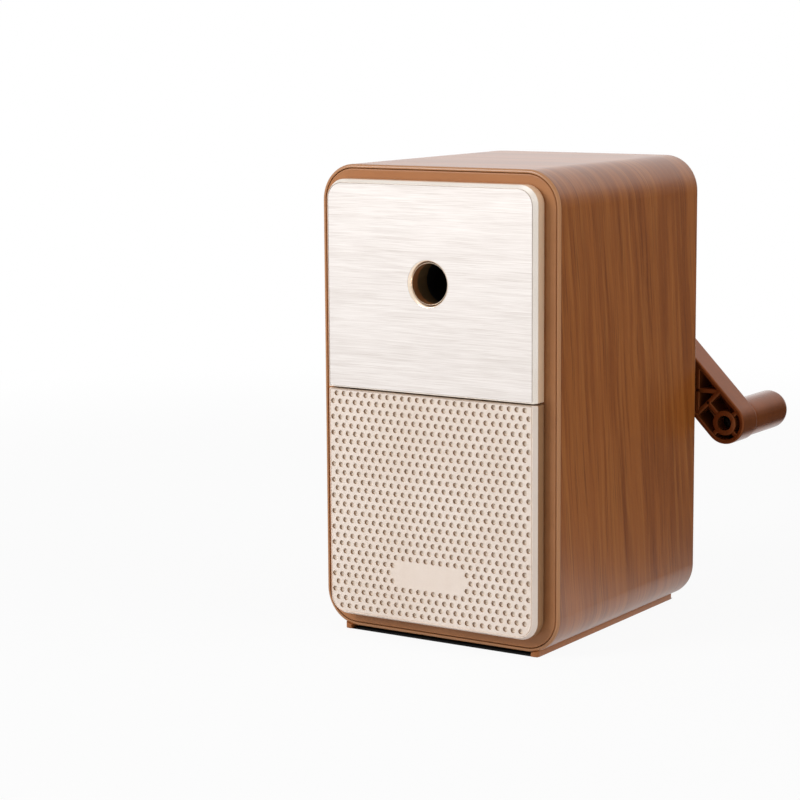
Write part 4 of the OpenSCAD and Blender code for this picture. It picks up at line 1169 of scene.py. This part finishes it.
class SHARPENER_OT_grip(bpy.types.Operator):
    """Adds the turning grip"""
    bl_idname = "sharpener.grip"
    bl_label = "Grip"

    def execute(self, context):
        low, high = edges("grip")
        radius, end_r, near_r = min(high.x - low.x, high.z - low.z) / 2, size("grip_round"), 0.35
        hole_r, hole_end = 1.22, edges("grip_screw")[1].y + 0.05
        profile = [(hole_r, hole_end), (hole_r, low.y + 0.15), (1.4, low.y)]
        for a in map(math.radians, (0, 30, 60, 90)):
            profile.append((radius - near_r * (1 - math.sin(a)), low.y + near_r * (1 - math.cos(a))))
        profile += [(radius, low.y + 1.2), (radius, high.y - end_r - 0.5)]
        for a in map(math.radians, range(0, 91, 9)):
            profile.append((radius - end_r * (1 - math.cos(a)), high.y - end_r * (1 - math.sin(a))))
        grip = lathe("grip_turned", profile, 80, ARM_LEN, closed=False)
        finish_piece(on_crank(grip), "handle", "grip", crank_brown(), 40)
        return {"FINISHED"}


# ---------------------------------------------------------------- screws

SHANK_R = 1.2
SPREAD = math.radians(80)       # the screws' own turns differ by up to this
SCREWS = (
    # node, body, name, way the heads face
    ("base_screws", "case", "foot_screws", (90, 0, 0)),
    ("frame_screws", "case", "bezel_screws", (0, 0, 0)),
    ("cover_screws", "case", "rear_screws", (0, 0, 180)),
    ("housing_screws", "case", "barrel_screws", (0, 0, 180)),
    ("crank_screw", "crank", "hub_screw", (0, 0, 180)),
    ("grip_screw", "handle", "pivot_screw", (0, 0, 0)),
    ("drawer_screws", "drawer", "tray_screws", (0, 0, 180)),
)


def screw_of(head, total):
    """Screw along Y in its own frame: its cross-recessed head faces the front at the origin."""
    y, pitch, neck = HEAD_T + 0.5, 0.8, SHANK_R * 0.86
    profile = [(head * 0.5, 0.0), (head * 0.82, 0.05 * HEAD_T), (head * 0.96, 0.22 * HEAD_T),
               (head, 0.5 * HEAD_T), (head, HEAD_T), (neck, HEAD_T), (neck, y)]
    while y + pitch < total - pitch:
        profile += [(SHANK_R, y + pitch * 0.3), (SHANK_R, y + pitch * 0.42), (SHANK_R * 0.8, y + pitch)]
        y += pitch
    profile += [(SHANK_R * 0.8, total - 0.35), (SHANK_R * 0.45, total)]
    screw = lathe("screw", profile, 36, closed=False)
    long, wide, deep = head * 0.6, head * 0.13, HEAD_T * 0.55
    carve(screw, [block("slot", (-x, -PAST, -z), (x, deep, z)) for x, z in ((long, wide), (wide, long))])
    return screw


def screw_pattern():
    """Puts a screw at each point, all turned one way, each with its own turn about its axis."""
    t = Pattern("screws", [
        ("Screw", "Object", None), ("Facing", "Vector", (0.0, 0.0, 0.0)), ("Spread", "Float", SPREAD)])
    placed = t.instances(t.given["Geometry"], t.shape("Screw"), Rotation=t.given["Facing"])
    chance = t.node("FunctionNodeRandomValue", {"data_type": "FLOAT"}, {"Seed": 7}, output=1)
    turn = t.gather(0.0, chance * t.given["Spread"], 0.0)
    t.end(t.node("GeometryNodeRotateInstances", {},
                 {"Instances": placed, "Rotation": turn, "Local Space": True}))
    return t


class SHARPENER_OT_screws(bpy.types.Operator):
    """Adds every screw"""
    bl_idname = "sharpener.screws"
    bl_label = "Screws"

    def execute(self, context):
        pattern = screw_pattern()
        bright = turned_metal("screw_steel", linear(206, 204, 200), linear(150, 148, 146), 0.28, (3, 3, 3))
        black = turned_metal("black_steel", linear(46, 43, 40), linear(26, 24, 22), 0.45, (3, 3, 3))
        for node, body, name, facing in SCREWS:
            found = islands(node)
            spots = []
            for low, high in found:
                x, y, z = (low + high) / 2
                if facing[0]:
                    spots.append((x, y, low.z))
                else:
                    spots.append((x, high.y if facing[2] else low.y, z))
            extent = found[0][1] - found[0][0]
            screw = screw_of(extent.x / 2, extent.z if facing[0] else extent.y)
            screws = make_mesh(name, spots, [])
            # Painted shade: the grip's screw sits deep in its hole and gets the near-black steel, which stands in
            # for the hole's shade.
            steel = black if node == "grip_screw" else bright
            pattern.run(screws, {"Screw": screw, "Facing": tuple(map(math.radians, facing)),
                                 "Spread": SPREAD, "Finish": steel})
            remove(screw)
            finish_piece(screws, body, node, steel, 40)
        return {"FINISHED"}


# ---------------------------------------------------------------- inside

MOULDED_INSIDE = (
    # finish, colour, shade, roughness, relief, nodes
    ("chassis_tan", (206, 186, 156), (188, 166, 134), 0.42, 0.008, ("chassis", "drawer_guide")),
    ("black_plastic", (30, 29, 29), (42, 41, 40), 0.38, 0.008,
     ("pencil_guide", "retaining_ring", "cutter_cage")),
    ("housing_grey", (112, 114, 118), (94, 96, 100), 0.4, 0.01, ("gear_housing",)),
)
METAL_INSIDE = (
    # finish, colour, shade, roughness, stretch of the tool marks, nodes
    ("gear_steel", (176, 176, 178), (120, 120, 122), 0.32, (2.0, 0.4, 2.0), ("ring_gear",)),
    ("bush_brass", (204, 170, 104), (150, 118, 62), 0.25, (0.3, 6.0, 0.3), ("shaft_bush", "cutter_pinion")),
    ("steel", (200, 200, 202), (146, 146, 150), 0.22, (0.3, 6.0, 0.3), ("crank_shaft", "cutter_axle")),
    ("cutter_steel", (168, 172, 180), (104, 106, 112), 0.26, (0.6, 3.0, 0.6), ("helical_cutter",)),
)


class SHARPENER_OT_inside(bpy.types.Operator):
    """Finishes the works inside the case"""
    bl_idname = "sharpener.inside"
    bl_label = "Works inside"

    def execute(self, context):
        for make, rows in ((moulded, MOULDED_INSIDE), (turned_metal, METAL_INSIDE)):
            for name, colour, shade, rough, grain, nodes in rows:
                material = make(name, linear(*colour), linear(*shade), rough, grain)
                for node in nodes:
                    for slot in frame["nodes"][node].material_slots:
                        slot.material = material
        return {"FINISHED"}


# ---------------------------------------------------------------- stage

CAMERA_PLACE = (0.2838, -0.4799, 0.1380)
CAMERA_ANGLES = (33.352, 8.838, -0.410)     # azimuth, height and roll
CAMERA_LENS, SENSOR = 107.95, 36.0
FLOOR_REACH = 6000.0
LIGHT_AIM = (0, 0, 0.055)
LIGHTS = (
    # name, place, size, power, seen in reflections
    ("key", (-0.42, -0.72, 0.50), (0.42, 0.40), 5.2, True),
    ("fill", (0.80, 0.10, 0.45), (0.6, 0.5), 3.0, False),
    ("top", (0.05, 0.10, 0.80), (0.7, 0.7), 0.7, True),
    ("rear", (-0.75, 1.00, 0.30), (1.3, 0.45), 1.1, True),
)
WHITE = (1, 1, 1, 1)


class SHARPENER_OT_stage(bpy.types.Operator):
    """Adds the floor, the lights and the camera"""
    bl_idname = "sharpener.stage"
    bl_label = "Floor, lights and camera"

    def execute(self, context):
        self.camera(context.scene)
        self.floor()
        self.world(context.scene)
        for light in LIGHTS:
            self.area_light(*light)
        context.scene.view_settings.view_transform = "Standard"
        return {"FINISHED"}

    @staticmethod
    def camera(scene):
        azimuth, height, roll = map(math.radians, CAMERA_ANGLES)
        data = bpy.data.cameras.new("camera")
        data.lens, data.sensor_width = CAMERA_LENS, SENSOR
        data.clip_start, data.clip_end = 0.01, 20.0
        camera = add_object("camera", data)
        camera.matrix_world = (Matrix.Translation(CAMERA_PLACE) @ Matrix.Rotation(azimuth, 4, "Z")
                               @ Matrix.Rotation(QUARTER - height, 4, "X") @ Matrix.Rotation(roll, 4, "Z"))
        scene.camera = camera

    @staticmethod
    def area_light(name, where, sides, power, glossy):
        data = bpy.data.lights.new(name, "AREA")
        data.shape = "RECTANGLE"
        data.size, data.size_y = sides
        data.energy = power
        light = add_object(name, data)
        light.location = where
        light.rotation_euler = (Vector(LIGHT_AIM) - Vector(where)).to_track_quat("-Z", "Y").to_euler()
        light.visible_glossy = glossy
        light.visible_camera = False

    @staticmethod
    def floor():
        """White to the camera and in reflections, with a painted shadow under the case, where it is near black,
        and dark where the side mirrors it.
        """
        material = bpy.data.materials.new("floor")
        t = Surface(material)
        seen, glossy = t.rays()
        x, y = t.split(t.node("ShaderNodeTexCoord", output="Object"))[:2]
        far = (x * x + y * y).ramp(0.04, 0.20)
        flag = x.ramp(0.036, 0.060) * (y - x * 0.45).ramp(-0.02, 0.03)
        half_width, half_length = edges("base_plate")[1].x * MM - 0.0004, 0.0329
        # Painted shadow: under the case the floor has no white glow and a near-black colour.
        under = (x.calc("ABSOLUTE") < half_width) * (y.calc("ABSOLUTE") < half_length)
        matt = t.node("ShaderNodeBsdfDiffuse", {}, [0.76 - under * 0.72])
        white = t.node("ShaderNodeEmission", {}, {"Color": WHITE, "Strength": 1 - glossy * flag * 0.92})
        bright = (seen * (0.93 + far * 0.07) + glossy).clamp() * (1 - under)
        t.end(t.node("ShaderNodeMixShader", {}, [bright, matt, white]))
        r = FLOOR_REACH
        floor = make_mesh("floor", [(-r, -r, 0), (r, -r, 0), (r, r, 0), (-r, r, 0)], [(0, 1, 2, 3)])
        floor.data.materials.append(material)

    @staticmethod
    def world(scene):
        """White to the camera, dim in diffuse light, with a dark flag beside the case in reflections."""
        scene.world = bpy.data.worlds.new("studio")
        t = Surface(scene.world, "ShaderNodeOutputWorld")
        seen, glossy = t.rays()
        x, y, z = t.split(t.node("ShaderNodeTexCoord", output="Generated"))
        flag = x.ramp(0.15, 0.5) * (y - x * 0.45).ramp(0.0, 0.2) * (1 - z.ramp(0.10, 0.40))
        shine = 0.92 + y.ramp(0.45, 0.80) * z.ramp(0.25, 0.50) * 0.45 - flag * 0.84
        level = seen + (1 - seen) * (glossy * shine + (1 - glossy) * 0.22)
        t.end(t.node("ShaderNodeBackground", {}, {"Color": WHITE, "Strength": level}))


# ---------------------------------------------------------------- sidebar

class SHARPENER_PT_sidebar(bpy.types.Panel):
    """Sizes, colours and steps of the sharpener"""
    bl_idname = "SHARPENER_PT_sidebar"
    bl_label = "Crank Pencil Sharpener"
    bl_space_type = "VIEW_3D"
    bl_region_type = "UI"
    bl_category = "Sharpener"

    def draw(self, context):
        scene = context.scene
        for label, group in (("Sizes", scene.sharpener_sizes), ("Colours", scene.sharpener_colours)):
            box = self.layout.box()
            box.label(text=label)
            for name in group.__annotations__:
                box.prop(group, name)
        box = self.layout.box()
        box.label(text="Pieces")
        for step in STEPS:
            box.operator(step.bl_idname)


STEPS = (
    SHARPENER_OT_sleeve,
    SHARPENER_OT_bezel,
    SHARPENER_OT_back_cover,
    SHARPENER_OT_plinth,
    SHARPENER_OT_upper_panel,
    SHARPENER_OT_nozzle,
    SHARPENER_OT_drawer_front,
    SHARPENER_OT_tray,
    SHARPENER_OT_crank_arm,
    SHARPENER_OT_grip,
    SHARPENER_OT_screws,
    SHARPENER_OT_inside,
    SHARPENER_OT_stage,
)
CLASSES = (SharpenerSizes, SharpenerColours) + STEPS + (SHARPENER_PT_sidebar,)


def register():
    for cls in CLASSES:
        bpy.utils.register_class(cls)
    bpy.types.Scene.sharpener_sizes = bpy.props.PointerProperty(type=SharpenerSizes)
    bpy.types.Scene.sharpener_colours = bpy.props.PointerProperty(type=SharpenerColours)


def unregister():
    del bpy.types.Scene.sharpener_colours
    del bpy.types.Scene.sharpener_sizes
    for cls in reversed(CLASSES):
        bpy.utils.unregister_class(cls)


def main():
    register()
    for step in STEPS:
        if getattr(bpy.ops.sharpener, step.bl_idname.split(".")[1])() != {"FINISHED"}:
            raise RuntimeError(f"{step.bl_label} didn't finish")


if __name__ == "__main__":
    main()
